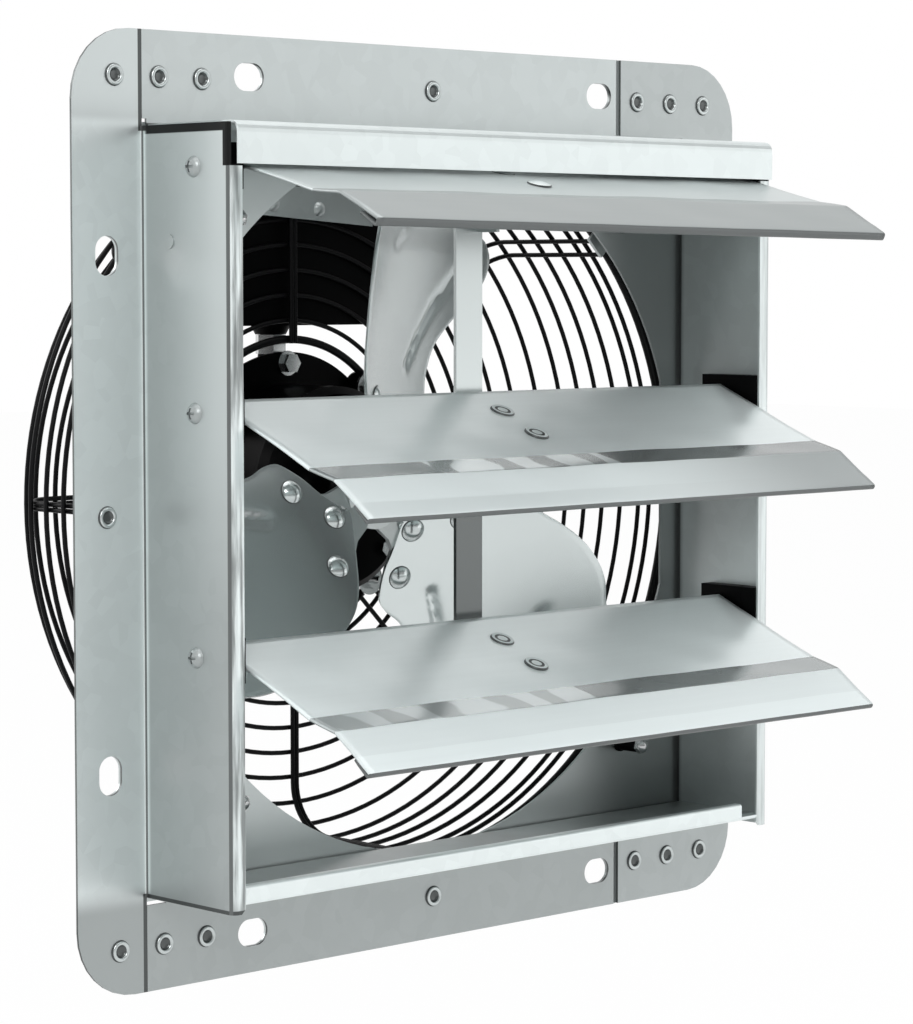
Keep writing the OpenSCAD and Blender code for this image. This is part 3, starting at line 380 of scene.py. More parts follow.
SCRATCHES = scratches()
print("group made:", SCRATCHES.name)

# %% [markdown]
# ## Material helpers
# Every material is a Principled BSDF. Constant values sit on its own sockets, and the groups above
# only vary the base colour or a very low bump. The metals are all a faintly green grey.


# %% Material helpers
def grey(tone):
    return (0.93 * tone, tone, 0.995 * tone)


def plain(name, colour, metallic, roughness, shine=0.5):
    made = bpy.data.materials.new(name)
    made.use_nodes = True
    surface = made.node_tree.nodes["Principled BSDF"]
    surface.inputs["Base Color"].default_value = (*colour, 1)
    surface.inputs["Metallic"].default_value = metallic
    surface.inputs["Roughness"].default_value = roughness
    surface.inputs["Specular IOR Level"].default_value = shine
    return made


def based_on(material, colour):
    tree = material.node_tree
    tree.links.new(colour, tree.nodes["Principled BSDF"].inputs["Base Color"])
    return colour


def group_in(material, group, **values):
    tree = material.node_tree
    place = tree.nodes.new("ShaderNodeTexCoord")
    effect = tree.nodes.new("ShaderNodeGroup")
    effect.node_tree = group
    tree.links.new(place.outputs["Object"], effect.inputs["Vector"])
    for label, value in values.items():
        effect.inputs[label].default_value = value
    return effect


def reach(material, direction, start, end):
    return group_in(material, REACH, Direction=direction, From=start, To=end).outputs["Mask"]


def two_colours(material, mask, near, far):
    return based_on(material, mixed(material.node_tree, mask, near, far))


def scaled(material, colour, tone):
    tree = material.node_tree
    shade = tree.nodes.new("ShaderNodeVectorMath")
    shade.operation = "SCALE"
    if isinstance(colour, tuple):
        shade.inputs[0].default_value = colour
    else:
        tree.links.new(colour, shade.inputs[0])
    tree.links.new(tone, shade.inputs["Scale"])
    return based_on(material, shade.outputs[0])


def waved(material, waves, depth):
    tree = material.node_tree
    bump = tree.nodes.new("ShaderNodeBump")
    bump.inputs["Strength"].default_value = 1.0
    bump.inputs["Distance"].default_value = depth
    tree.links.new(waves, bump.inputs["Height"])
    tree.links.new(bump.outputs[0], tree.nodes["Principled BSDF"].inputs["Normal"])


# %% [markdown]
# ## Zinc sheets
# The four panels are one sort of sheet, but each mirrors another part of the room. So each gets a
# painted reflection tone for its flange strip and one for what stands in front of it. Then come
# painted light and shade at single places, and dark joint lines. Each is a tone and the masks whose
# product says where it lies, in metres.

# %% Zinc sheets
ZINC_METALLIC, ZINC_ROUGHNESS = 0.75, 0.36
CRYSTAL_SCALE, CRYSTAL_AMOUNT = 160.0, 0.05
STRIP_TO_WALL, LIP_BEND, ROOF_SHADOW_EDGE = 0.002, (0.0468, 0.0472), 0.0004
ROOF_SHADOW_TONE, EDGE_AND_BEND_SHADE_TONE, EDGE_SHARE = 0.01, 0.05, 0.85


def zinc_sheet(name, strip_tone, front_tone, front_from, lip_tones=None, roof_shadow_from=None, painted_light_and_joints=()):
    made = plain(name, grey(strip_tone), ZINC_METALLIC, ZINC_ROUGHNESS)
    tree = made.node_tree
    front = reach(made, FORWARD, front_from, front_from + STRIP_TO_WALL)
    dressed = two_colours(made, front, grey(strip_tone), grey(front_tone))
    effect = group_in(made, CRYSTALS, Scale=CRYSTAL_SCALE, Amount=CRYSTAL_AMOUNT)
    dressed = scaled(made, dressed, effect.outputs["Tone"])
    if lip_tones:
        scratched = mixed(tree, group_in(made, SCRATCHES).outputs["Mask"],
                          grey(lip_tones[0]), grey(lip_tones[1]))
        dressed = mixed(tree, reach(made, FORWARD, *LIP_BEND), dressed, scratched)
    for tone, edges in painted_light_and_joints:
        part = 1.0
        for direction, start, end in edges:
            part = math_node(tree, "MULTIPLY", part, reach(made, direction, start, end))
        dressed = mixed(tree, part, dressed, grey(tone))
    # Painted shadow: a near black line along the top of the wall in front, under the roof.
    if roof_shadow_from:
        gap = math_node(tree, "MULTIPLY", reach(made, UP, roof_shadow_from, roof_shadow_from + ROOF_SHADOW_EDGE), front)
        dressed = mixed(tree, gap, dressed, grey(ROOF_SHADOW_TONE))
    # Cut edges and bends painted dark, painted shade where the sheet bends.
    edge = math_node(tree, "MULTIPLY", EDGE_SHARE, group_in(made, EDGES_AND_BEND_SHADE).outputs["Mask"])
    two_colours(made, edge, dressed, grey(EDGE_AND_BEND_SHADE_TONE))
    return made


galvanised = plain("galvanised_sheet", grey(0.52), ZINC_METALLIC, ZINC_ROUGHNESS)
scaled(galvanised, grey(0.52), group_in(galvanised, CRYSTALS, Scale=CRYSTAL_SCALE,
                                        Amount=CRYSTAL_AMOUNT).outputs["Tone"])
LEFT_PAINTED_LIGHT_AND_JOINTS = [
    # Painted shade: the strip darker at its corners, above the roof and below the floor
    (0.64, [(UP, 0.1362, 0.1400)]),
    (0.42, [(DOWN, 0.1300, 0.1400)]),
    # The joints with the top and bottom strips
    (0.10, [(RIGHT, -0.1412, -0.1410), (UP, 0.1345, 0.1347)]),
    (0.10, [(RIGHT, -0.1412, -0.1410), (DOWN, 0.1345, 0.1347)]),
    # Painted light: the upper wall brighter towards its front
    (0.60, [(FORWARD, 0.0060, 0.0400), (BACK, -0.0460, -0.0455), (UP, -0.0500, 0.0400)]),
    # Painted shade: a dark line in the bend before the lip, and near black in the gap beside the
    # hood
    (0.16, [(FORWARD, 0.0456, 0.0458), (BACK, -0.0472, -0.0470)]),
    (0.01, [(FORWARD, 0.0440, 0.0442), (UP, 0.1214, 0.1216)]),
]
left_sheet = zinc_sheet("left_sheet", 0.84, 0.44, 0.001, (0.30, 0.92), 0.1332, LEFT_PAINTED_LIGHT_AND_JOINTS)
right_sheet = zinc_sheet("right_sheet", 0.46, 0.62, 0.001, (0.62, 0.80))
top_sheet = zinc_sheet("top_sheet", 0.56, 0.78, 0.040)
bottom_sheet = zinc_sheet("bottom_sheet", 0.43, 0.90, 0.040)
# Painted shade: the orifice plate darkens towards the right.
plate_metal = plain("orifice_sheet", grey(0.5), 0.75, 0.34)
two_colours(plate_metal, reach(plate_metal, RIGHT, 0.02, 0.12), grey(0.60), grey(0.25))
print("materials so far:", len(bpy.data.materials))

# %% [markdown]
# ## Louver and tie bar aluminium
# Each strip of a louver lies at its own angle to the light, so each has its own tone. The tie bar
# stands in the light above the middle louver and in its shade below.


# %% Louver and tie bar aluminium
def rolled_metal(name, tone, metallic, roughness=0.34, depth=0.0006):
    made = plain(name, grey(tone), metallic, roughness)
    effect = group_in(made, ROLLED, Lines=0.05)
    scaled(made, grey(tone), effect.outputs["Tone"])
    waved(made, effect.outputs["Waves"], depth)
    return made


# The rise gets bright patches of painted reflection, and beyond them, to the right, a darker tone
# of painted shade.
def folded(name, base, patch, rest, start, finish):
    made = plain(name, grey(base), 0.6, 0.2)
    effect = group_in(made, FOLDS, From=start, To=finish)
    inner = two_colours(made, effect.outputs["Patches"], grey(base), grey(patch))
    two_colours(made, effect.outputs["Beyond"], inner, grey(rest))
    return made


top_flat = rolled_metal("top_louver_flat", 0.64, 0.8)
top_rise = rolled_metal("top_louver_rise", 0.40, 0.8)
top_front = rolled_metal("top_louver_front", 0.405, 0.8)
flat_metal = rolled_metal("louver_flat", 0.94, 0.4, 0.28)
front_metal = rolled_metal("louver_front", 0.82, 0.1, 0.4)
middle_front = plain("middle_louver_front", grey(0.82), 0.1, 0.4)
bright_lip = rolled_metal("bright_louver_lip", 0.88, 0.1, 0.34)
middle_lip = plain("middle_louver_lip", grey(0.79), 0.2, 0.34)
# Painted shade: the middle louver's front strip and lip darken towards the right.
for made, tone in ((middle_front, 0.82), (middle_lip, 0.79)):
    two_colours(made, reach(made, RIGHT, -0.01, 0.12), grey(tone), grey(0.40))
# The hem under each lip is painted dark: painted shade.
hem_metal = rolled_metal("louver_hem", 0.14, 0.3, 0.4, 0.0015)
middle_fold = folded("middle_louver_fold", 0.46, 0.95, 0.30, -0.08, 0.008)
bottom_fold = folded("bottom_louver_fold", 0.56, 0.82, 0.40, -0.128, -0.004)
bar_metal = plain("bar_aluminium", grey(0.52), 0.95, 0.22)
two_colours(bar_metal, reach(bar_metal, DOWN, -0.04, -0.03), grey(0.52), grey(0.13))
print("materials so far:", len(bpy.data.materials))

# %% [markdown]
# ## Blades, fasteners and paint
# The three blades face different parts of the room, so each has its own tone. The fasteners are
# bright zinc or aluminium, the motor is painted and the wires are dipped, which is less glossy.

# %% Blades, fasteners and paint
# Each blade's tone is a painted reflection of the part of the room it faces.
BLADE_TONES = {1: 0.64, 2: 0.44, 3: 0.78}
blade_lit_metal = {}
for number, tone in BLADE_TONES.items():
    made = plain(f"blade_lit_aluminium_{number}", grey(tone), 0.85, 0.24)
    scaled(made, grey(tone), group_in(made, CRYSTALS, Scale=30.0, Amount=0.03).outputs["Tone"])
    blade_lit_metal[number] = made

rivet_zinc = plain("rivet_zinc", grey(0.62), 0.9, 0.3)
# Painted shade: the hollow rivets' centres and every rivet head's lower edge are painted near
# black.
rivet_hole_shade = plain("rivet_hollow_shade", grey(0.11), 0.8, 0.3)
screw_zinc = plain("screw_zinc", grey(0.42), 0.7, 0.42)
rivet_edge_shade = plain("rivet_edge_shade", grey(0.10), 0.6, 0.4)
blade_rivet = plain("blade_rivet_aluminium", grey(0.62), 0.95, 0.2)
pale_rivet = plain("louver_rivet_aluminium", grey(0.80), 0.5, 0.35)
bright_steel = plain("bright_zinc", (0.50, 0.51, 0.51), 1.0, 0.2)
dull_steel = plain("dull_steel", (0.34, 0.34, 0.35), 0.9, 0.4)
gloss_black = plain("gloss_black_paint", (0.001, 0.001, 0.0012), 0.0, 0.3, 0.04)
wire_black = plain("black_wire_coating", (0.004, 0.004, 0.0045), 0.0, 0.35, 0.12)
satin_black = plain("satin_black_plastic", (0.0016, 0.0016, 0.0018), 0.0, 0.45, 0.05)
copper = plain("enamelled_copper", (0.45, 0.17, 0.07), 0.8, 0.35)
pale_plastic = plain("pale_plastic", (0.78, 0.78, 0.75), 0.0, 0.5)
print("materials:", len(bpy.data.materials))

# %% [markdown]
# ## Which piece has which finish
# The CAD nodes keep their meshes. Only their material changes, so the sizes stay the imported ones.

# %% Dress the CAD nodes
FINISH = {
    galvanised: ["guard_lugs", "box_strap", "strap_screws", "spider", "link_bracket_top",
                 "link_bracket_middle", "link_bracket_bottom"],
    left_sheet: ["left_panel"],
    right_sheet: ["right_panel"],
    top_sheet: ["top_panel"],
    bottom_sheet: ["bottom_panel"],
    plate_metal: ["orifice_plate"],
    screw_zinc: ["pivot_screws"],
    bar_metal: ["tie_bar"],
    flat_metal: ["louver_top", "louver_middle", "louver_bottom"],
    blade_lit_metal[1]: ["blade_1"],
    blade_lit_metal[2]: ["blade_2"],
    blade_lit_metal[3]: ["blade_3"],
    bright_steel: ["flange_rivets", "disc_bolts", "clamp_bolts", "clamp_washers", "clamp_nuts",
                   "guard_screws", "guard_dome_nuts", "lid_screws", "conduit_nuts", "hub_boss",
                   "set_screw", "blade_rivets", "motor_shaft", "through_bolts", "front_bearing",
                   "rear_bearing", "bracket_rivets_top", "bracket_rivets_middle",
                   "bracket_rivets_bottom", "link_pin_top", "link_pin_middle",
                   "link_pin_bottom"],
    gloss_black: ["motor_shell", "front_end_bell", "rear_end_bell", "mounting_disc"],
    wire_black: ["guard_back_rings", "guard_side_rings", "guard_base_ring", "guard_struts"],
    satin_black: ["pivot_bushings", "guard_sleeves", "junction_box", "box_lid", "conduit",
                  "supply_gland"],
    dull_steel: ["rotor_core", "stator_core"],
    copper: ["stator_windings"],
    pale_plastic: ["capacitor"],
}
for finish, names in FINISH.items():
    for name in names:
        node[name].data.materials.clear()
        node[name].data.materials.append(finish)
print("dressed:", sum(len(names) for names in FINISH.values()))

# %% [markdown]
# ## Bushing blocks
# Behind each louver's pivot a black plastic bushing reaches forward along the side wall. The front
# ends are plain blocks, so eight corners each say all there is to say.

# %% Front ends of the bushing blocks
PIVOT_Y = -28.5
PIVOT_Z = {"top": 121.5, "middle": 36.7, "bottom": -48.1}
BLOCK_X, BLOCK_Y, BLOCK_HALF = (132.6, 138.4), (-46.9, -38.9), 7.9


def blocks(name, places, finish):
    corners, faces = [], []
    for xs, ys, zs in places:
        i = len(corners)
        corners += [(x * MM, y * MM, z * MM) for x in xs for y in ys for z in zs]
        faces += [tuple(i + k for k in face) for face in (
            (0, 1, 3, 2), (4, 6, 7, 5), (0, 4, 5, 1), (2, 3, 7, 6), (0, 2, 6, 4), (1, 5, 7, 3))]
    mesh = bpy.data.meshes.new(name)
    mesh.from_pydata(corners, [], faces)
    mesh.materials.append(finish)
    return put(name, mesh)


bushing_ends = blocks("bushing_ends", [
    (xs, BLOCK_Y, (z - BLOCK_HALF, z + BLOCK_HALF))
    for xs in (BLOCK_X, (-BLOCK_X[1], -BLOCK_X[0])) for z in PIVOT_Z.values()], satin_black)
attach(bushing_ends, "frame")
print("bushing ends:", 2 * len(PIVOT_Z))

# %% [markdown]
# ## Guard wires
# The guard is a cage of rings and of wires that cross them. CAD gives exact rings, but a smoother
# wire that follows the round shoulder is a rule that repeats, so Geometry Nodes sweep a circle
# along both. The flat back turns into the straight side through a bend, and the rings lie on it.

# %% Guard sizes
FLAT_R, SIDE_Y, BEND, GUARD_Y = 118.6, 60.9, 22.1, 83.0
SIDE_R = FLAT_R + BEND
RING_PITCH, RING_FIRST, BACK_RINGS = 10.0, 66.5, 6
SIDE_PITCH, SIDE_FIRST, SIDE_RINGS = 10.45, 126.9, 7
EDGE_RING_Y = 18.6
WIRE, CLAMP_WIRE, BASE_WIRE = 1.9, 3.2, 4.0
CLAMP_RING, BASE_RING = (59.0, 83.52), (140.5, 9.5)


def guard_point(run):
    arc = BEND * math.pi / 2
    if run < FLAT_R:
        return run, GUARD_Y
    if run < FLAT_R + arc:
        turn = (run - FLAT_R) / BEND
        return FLAT_R + BEND * math.sin(turn), SIDE_Y + BEND * math.cos(turn)
    return SIDE_R, SIDE_Y - (run - FLAT_R - arc)


back_places = [guard_point(RING_FIRST + RING_PITCH * k) for k in range(BACK_RINGS)]
side_places = [guard_point(SIDE_FIRST + SIDE_PITCH * k) for k in range(SIDE_RINGS)]
side_places.append((SIDE_R, EDGE_RING_Y))
print("side rings:", [(round(r, 1), round(y, 1)) for r, y in side_places])


# %% Geometry Nodes helpers
def points_object(name, places, edges=()):
    mesh = bpy.data.meshes.new(name)
    mesh.from_pydata([tuple(c * MM for c in p) for p in places], edges, [])
    return put(name, mesh)


def new_tree(name, inputs):
    tree = bpy.data.node_groups.new(name, "GeometryNodeTree")
    tree.interface.new_socket("Geometry", in_out="INPUT", socket_type="NodeSocketGeometry")
    for label, kind in inputs:
        tree.interface.new_socket(label, in_out="INPUT", socket_type=kind)
    tree.interface.new_socket("Geometry", in_out="OUTPUT", socket_type="NodeSocketGeometry")
    return tree, tree.nodes.new("NodeGroupInput"), tree.nodes.new("NodeGroupOutput")


def swept(tree, curve, radius, capped):
    section = tree.nodes.new("GeometryNodeCurvePrimitiveCircle")
    section.inputs["Resolution"].default_value = 12
    tree.links.new(radius, section.inputs["Radius"])
    sweep = tree.nodes.new("GeometryNodeCurveToMesh")
    tree.links.new(curve, sweep.inputs["Curve"])
    tree.links.new(section.outputs[0], sweep.inputs["Profile Curve"])
    sweep.inputs["Fill Caps"].default_value = capped
    return sweep.outputs[0]


def smoothed(tree, geometry):
    smooth = tree.nodes.new("GeometryNodeSetShadeSmooth")
    tree.links.new(geometry, smooth.inputs["Geometry"])
    return smooth.outputs[0]


def realized(tree, geometry):
    solid = tree.nodes.new("GeometryNodeRealizeInstances")
    tree.links.new(geometry, solid.inputs[0])
    return solid.outputs[0]


def painted(tree, geometry, coating, end):
    paint = tree.nodes.new("GeometryNodeSetMaterial")
    tree.links.new(geometry, paint.inputs["Geometry"])
    tree.links.new(coating, paint.inputs["Material"])
    tree.links.new(paint.outputs[0], end.inputs[0])


def grow(source, tree, values, name):
    modifier = source.modifiers.new("grow", "NODES")
    modifier.node_group = tree
    for item in tree.interface.items_tree:
        if item.item_type == "SOCKET" and item.in_out == "INPUT" and item.name in values:
            modifier[item.identifier] = values[item.name]
    graph = bpy.context.evaluated_depsgraph_get()
    mesh = bpy.data.meshes.new_from_object(source.evaluated_get(graph))
    mesh.name = name
    bpy.data.objects.remove(source)
    return put(name, mesh)


# %% [markdown]
# ## Rings
# Every ring of the guard differs only in its radius and its depth. So each is one point, whose X
# holds the radius and whose Y holds the depth, and one tree turns the points into rings.


# %% Rings tree
def ring_tree():
    tree, start, end = new_tree("wire_rings", [("Wire", "NodeSocketFloat"),
                                               ("Coating", "NodeSocketMaterial")])
    new, join = tree.nodes.new, tree.links.new
    place = new("GeometryNodeInputPosition")
    split = new("ShaderNodeSeparateXYZ")
    join(place.outputs[0], split.inputs[0])
    keep = new("GeometryNodeCaptureAttribute")
    keep.capture_items.new("FLOAT", "Radius")
    join(start.outputs["Geometry"], keep.inputs[0])
    join(split.outputs["X"], keep.inputs[1])
    flat = new("ShaderNodeCombineXYZ")
    join(split.outputs["Y"], flat.inputs["Y"])
    centre = new("GeometryNodeSetPosition")
    join(keep.outputs[0], centre.inputs["Geometry"])
    join(flat.outputs[0], centre.inputs["Position"])
    circle = new("GeometryNodeCurvePrimitiveCircle")
    circle.inputs["Resolution"].default_value = 128
    circle.inputs["Radius"].default_value = 1.0
    copies = new("GeometryNodeInstanceOnPoints")
    join(centre.outputs[0], copies.inputs["Points"])
    join(circle.outputs[0], copies.inputs["Instance"])
    copies.inputs["Rotation"].default_value = (math.pi / 2, 0, 0)
    join(keep.outputs[1], copies.inputs["Scale"])
    wire = swept(tree, realized(tree, copies.outputs[0]), start.outputs["Wire"], False)
    painted(tree, realized(tree, smoothed(tree, wire)), start.outputs["Coating"], end)
    return tree


RINGS = ring_tree()
print("tree made:", RINGS.name)


# %% Rings
def wire_rings(name, places, diameter):
    source = points_object(name + "_points", [(r, y, 0) for r, y in places])
    made = grow(source, RINGS, {"Wire": diameter / 2 * MM, "Coating": wire_black}, name)
    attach(made, "frame")
    print(name, "faces:", len(made.data.polygons))
    return made


back_rings = wire_rings("back_rings", back_places, WIRE)
wire_rings("inner_ring", [CLAMP_RING], CLAMP_WIRE)
side_rings = wire_rings("side_rings", side_places, WIRE)
base_ring = wire_rings("base_ring", [BASE_RING], BASE_WIRE)
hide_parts("guard_back_rings")
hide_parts("guard_side_rings")
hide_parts("guard_base_ring")

# %% [markdown]
# ## Radial wires
# One pair of bent wires is drawn as a line and repeated every 90 degrees around the axis. The
# upright and level pairs lie close together, and the diagonal pairs pass a clamp bolt.


# %% Radial wire tree
def radial_tree():
    tree, start, end = new_tree("radial_wires", [("Wire", "NodeSocketFloat"),
                                                 ("Count", "NodeSocketInt"),
                                                 ("Start", "NodeSocketFloat"),
                                                 ("Coating", "NodeSocketMaterial")])
    new, join = tree.nodes.new, tree.links.new
    line = new("GeometryNodeMeshToCurve")
    join(start.outputs["Geometry"], line.inputs[0])
    wire = smoothed(tree, swept(tree, line.outputs[0], start.outputs["Wire"], True))
    spots = new("GeometryNodeMeshLine")
    join(start.outputs["Count"], spots.inputs["Count"])
    spots.inputs["Offset"].default_value = (0, 0, 0)
    index = new("GeometryNodeInputIndex")
    turn = math_node(tree, "MULTIPLY", index.outputs[0], -math.pi / 2)
    angle = new("ShaderNodeCombineXYZ")
    join(math_node(tree, "SUBTRACT", turn, start.outputs["Start"]), angle.inputs["Y"])
    copies = new("GeometryNodeInstanceOnPoints")
    join(spots.outputs[0], copies.inputs["Points"])
    join(wire, copies.inputs["Instance"])
    join(angle.outputs[0], copies.inputs["Rotation"])
    painted(tree, realized(tree, copies.outputs[0]), start.outputs["Coating"], end)
    return tree


RADIAL = radial_tree()
print("tree made:", RADIAL.name)

# %% Radial wires
LEG_END_Y, WIRE_END_R, BEND_STEPS = 11.6, 57.4, 12
CLOSE_PAIR, WIDE_PAIR = (-1.0, 1.0), (-7.4, 0.0)


def strut_line(offset):
    inner = BEND - WIRE
    leg = math.sqrt((FLAT_R + inner) ** 2 - offset ** 2)
    run = [(leg, LEG_END_Y)]
    for k in range(BEND_STEPS + 1):
        turn = math.pi / 2 * k / BEND_STEPS
        run.append((leg - inner + inner * math.cos(turn), SIDE_Y + inner * math.sin(turn)))
    run.append((WIRE_END_R, GUARD_Y - WIRE))
    return run


def wire_pairs(name, offsets, first_angle):
    points, edges = [], []
    for side in offsets:
        first = len(points)
        run = strut_line(side)
        points += [(r, y, side) for r, y in run]
        edges += [(first + k, first + k + 1) for k in range(len(run) - 1)]
    made = grow(points_object(name + "_points", points, edges), RADIAL,
                {"Wire": WIRE / 2 * MM, "Count": 4, "Start": math.radians(first_angle),
                 "Coating": wire_black}, name)
    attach(made, "frame")
    print(name, "faces:", len(made.data.polygons))
    return made


upright_pairs = wire_pairs("upright_pairs", CLOSE_PAIR, 0)
wire_pairs("diagonal_pairs", WIDE_PAIR, 45)
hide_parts("guard_struts")

# %% [markdown]
# ## Fan blades
# A blade is pressed from aluminium sheet: a curved shape that leans and bends out of its plane,
# with two ribs pressed in for stiffness. A grid between its two edges follows the outline that was
# measured, and the sheet gets its thickness from Solidify. Places on a blade are a distance from
# the axis along the blade's middle, and one across it.

# %% Blade outline
LEADING = [(16, 0.5), (17.5, 3.5), (21, 9), (27, 17), (33, 24), (40, 29.5), (48, 33), (57, 35.5),
           (72, 38.5), (84, 39.5), (96, 38.5), (105, 36), (112, 32.5), (118.3, 29.9)]
TRAILING = [(18, -0.5), (20.6, -4.4), (23.1, -8.1), (25.3, -11.9), (27, -15.5), (29.3, -19.2),
            (33.2, -24), (36.6, -26.8), (42.6, -27.7), (50.9, -27), (62, -30), (72, -38),
            (82, -48), (90, -55), (97, -58.2), (104, -58.2), (109.0, -54.8)]
FAN_R = 122.0
BLADE_ANGLES = {1: 80, 2: 200, 3: 320}


def along(path, steps):
    lengths = [0.0]
    for first, second in zip(path[:-1], path[1:]):
        lengths.append(lengths[-1] + math.dist(first, second))
    out = []
    for k in range(steps + 1):
        goal = lengths[-1] * k / steps
        i = max(j for j in range(len(path) - 1) if lengths[j] <= goal + 1e-9)
        part = (goal - lengths[i]) / (lengths[i + 1] - lengths[i])
        near = [path[max(0, min(len(path) - 1, i + d))] for d in (-1, 0, 1, 2)]
        # A Catmull-Rom curve passes through every outline point
        out.append(tuple(
            0.5 * (2 * b + (c - a) * part + (2 * a - 5 * b + 4 * c - d) * part ** 2
                   + (3 * b - a - 3 * c + d) * part ** 3)
            for a, b, c, d in zip(*near)))
    return out


# %% Blade depth: pitch, camber and the pressed ribs
BLADE_Y, PITCH, CAMBER = 31.2, 0.5, 0.004
LONG_RIB = [(52, -10.5), (64, -16.5), (79, -26.5), (95, -42)]
LONG_DEPTH, LONG_WIDTH = 1.3, 2.0
SHORT_RIB = [(97, 13), (104, 5)]
SHORT_DEPTH, SHORT_WIDTH = 1.1, 2.2


def pressed(rho, tau, path, width):
    deepest = 0.0
    for (ax, ay), (bx, by) in zip(path[:-1], path[1:]):
        share = (((rho - ax) * (bx - ax) + (tau - ay) * (by - ay))
                 / ((bx - ax) ** 2 + (by - ay) ** 2))
        share = max(0.0, min(1.0, share))
        away = math.hypot(rho - ax - share * (bx - ax), tau - ay - share * (by - ay))
        deepest = max(deepest, math.exp(-(away / width) ** 2))
    return deepest


def blade_flat(tau):
    return BLADE_Y - PITCH * tau - CAMBER * tau * tau


def blade_depth(rho, tau):
    return (blade_flat(tau) + LONG_DEPTH * pressed(rho, tau, LONG_RIB, LONG_WIDTH)
            + SHORT_DEPTH * pressed(rho, tau, SHORT_RIB, SHORT_WIDTH))


# %% Blade mesh
ROWS, COLUMNS = 64, 40
BLADE_SHEET, BLADE_EDGE = 1.2, 0.25


def around(rho, tau, angle):
    return (rho * math.cos(angle) - tau * math.sin(angle),
            rho * math.sin(angle) + tau * math.cos(angle))


def between(first, second, share):
    return tuple(a + (b - a) * share for a, b in zip(first, second))


def blade_mesh(name, angle, finish):
    lead, trail = along(LEADING, ROWS), along(TRAILING, ROWS)
    a0 = math.atan2(TRAILING[-1][1], TRAILING[-1][0])
    a1 = math.atan2(LEADING[-1][1], LEADING[-1][0])
    points, faces = [], []
    for r in range(ROWS + 1):
        for c in range(COLUMNS + 1):
            share = c / COLUMNS
            rho, tau = between(trail[r], lead[r], share)
            # The last rows bend outwards until the tip lies on the fan's circle
            tip = around(FAN_R, 0, a0 + (a1 - a0) * share)
            chord = between(trail[-1], lead[-1], share)
            rho += (tip[0] - chord[0]) * (r / ROWS) ** 3
            tau += (tip[1] - chord[1]) * (r / ROWS) ** 3
            x, z = around(rho, tau, angle)
            points.append((x * MM, blade_depth(rho, tau) * MM, z * MM))
    across = COLUMNS + 1
    for r in range(ROWS):
        for c in range(COLUMNS):
            i = r * across + c
            faces.append((i, i + 1, i + across + 1, i + across))
    mesh = bpy.data.meshes.new(name)
    mesh.from_pydata(points, [], faces)
    mesh.update()
    mesh.polygons.foreach_set("use_smooth", [True] * len(mesh.polygons))
    if sum(face.normal.y for face in mesh.polygons) > 0:
        mesh.flip_normals()
    mesh.materials.append(finish)
    made = put(name, mesh)
    wall = made.modifiers.new("wall", "SOLIDIFY")
    wall.thickness = BLADE_SHEET * MM
    wall.offset = -1.0
    edge = made.modifiers.new("edge", "BEVEL")
    edge.width = BLADE_EDGE * MM
    edge.segments = 2
    edge.limit_method = "ANGLE"
    return made


for number, degrees in BLADE_ANGLES.items():
    blade = blade_mesh(f"pressed_blade_{number}", math.radians(degrees), blade_lit_metal[number])
    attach(blade, "fan")
    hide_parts(f"blade_{number}")
print("blades made, faces each:", ROWS * COLUMNS)

# %% [markdown]
# ## Rivets
# A rivet is a turned shape: a profile of radius and height, swept around its axis. The rows differ
# in number and place, but each kind is one profile, so one helper turns it at every place. Each
# point of a profile also names the finish of the ring of faces that ends there.

# %% Turned pieces
TURNED_SIDES = 36
DOME_STEPS = 9
HEAD_GAP = -0.05


def turned(name, places, profile, finishes):
    shape = bmesh.new()
    for centre, axis in places:
        turn = Vector((0, 0, 1)).rotation_difference(Vector(axis))
        rings = []
        for r, h, _ in profile:
            count = 1 if r == 0 else TURNED_SIDES
            rings.append([shape.verts.new((Vector(centre) + turn @ Vector(
                (r * math.cos(math.tau * k / count), r * math.sin(math.tau * k / count), h)))
                * MM) for k in range(count)])
        for near, far, (_, _, finish) in zip(rings[:-1], rings[1:], profile[1:]):
            for k in range(TURNED_SIDES):
                m = (k + 1) % TURNED_SIDES
                if len(near) == 1:
                    face = shape.faces.new((near[0], far[k], far[m]))
                elif len(far) == 1:
                    face = shape.faces.new((near[m], near[k], far[0]))
                else:
                    face = shape.faces.new((near[k], far[k], far[m], near[m]))
                face.material_index = finish
                face.smooth = True
    mesh = bpy.data.meshes.new(name)
    shape.to_mesh(mesh)
    shape.free()
    for finish in finishes:
        mesh.materials.append(finish)
    return put(name, mesh)


def shank(back, back_head):
    return [(2, HEAD_GAP, 1), (2, -back, 1), (3, -back, 0), (3, -back - back_head, 0),
            (0, -back - back_head, 0)]


def dome_profile(radius, height, back, back_head):
    big = (radius ** 2 + height ** 2) / (2 * height)
    top = math.asin(radius / big)
    # The cap's last ring and the rim take the second finish: painted shade on the head's edge.
    cap = [(big * math.sin(top * k / DOME_STEPS),
            height - big + big * math.cos(top * k / DOME_STEPS),
            1 if k == DOME_STEPS else 0) for k in range(1, DOME_STEPS + 1)]
    return [(0, height, 0), *cap, (radius, HEAD_GAP, 1), *shank(back, back_head)]


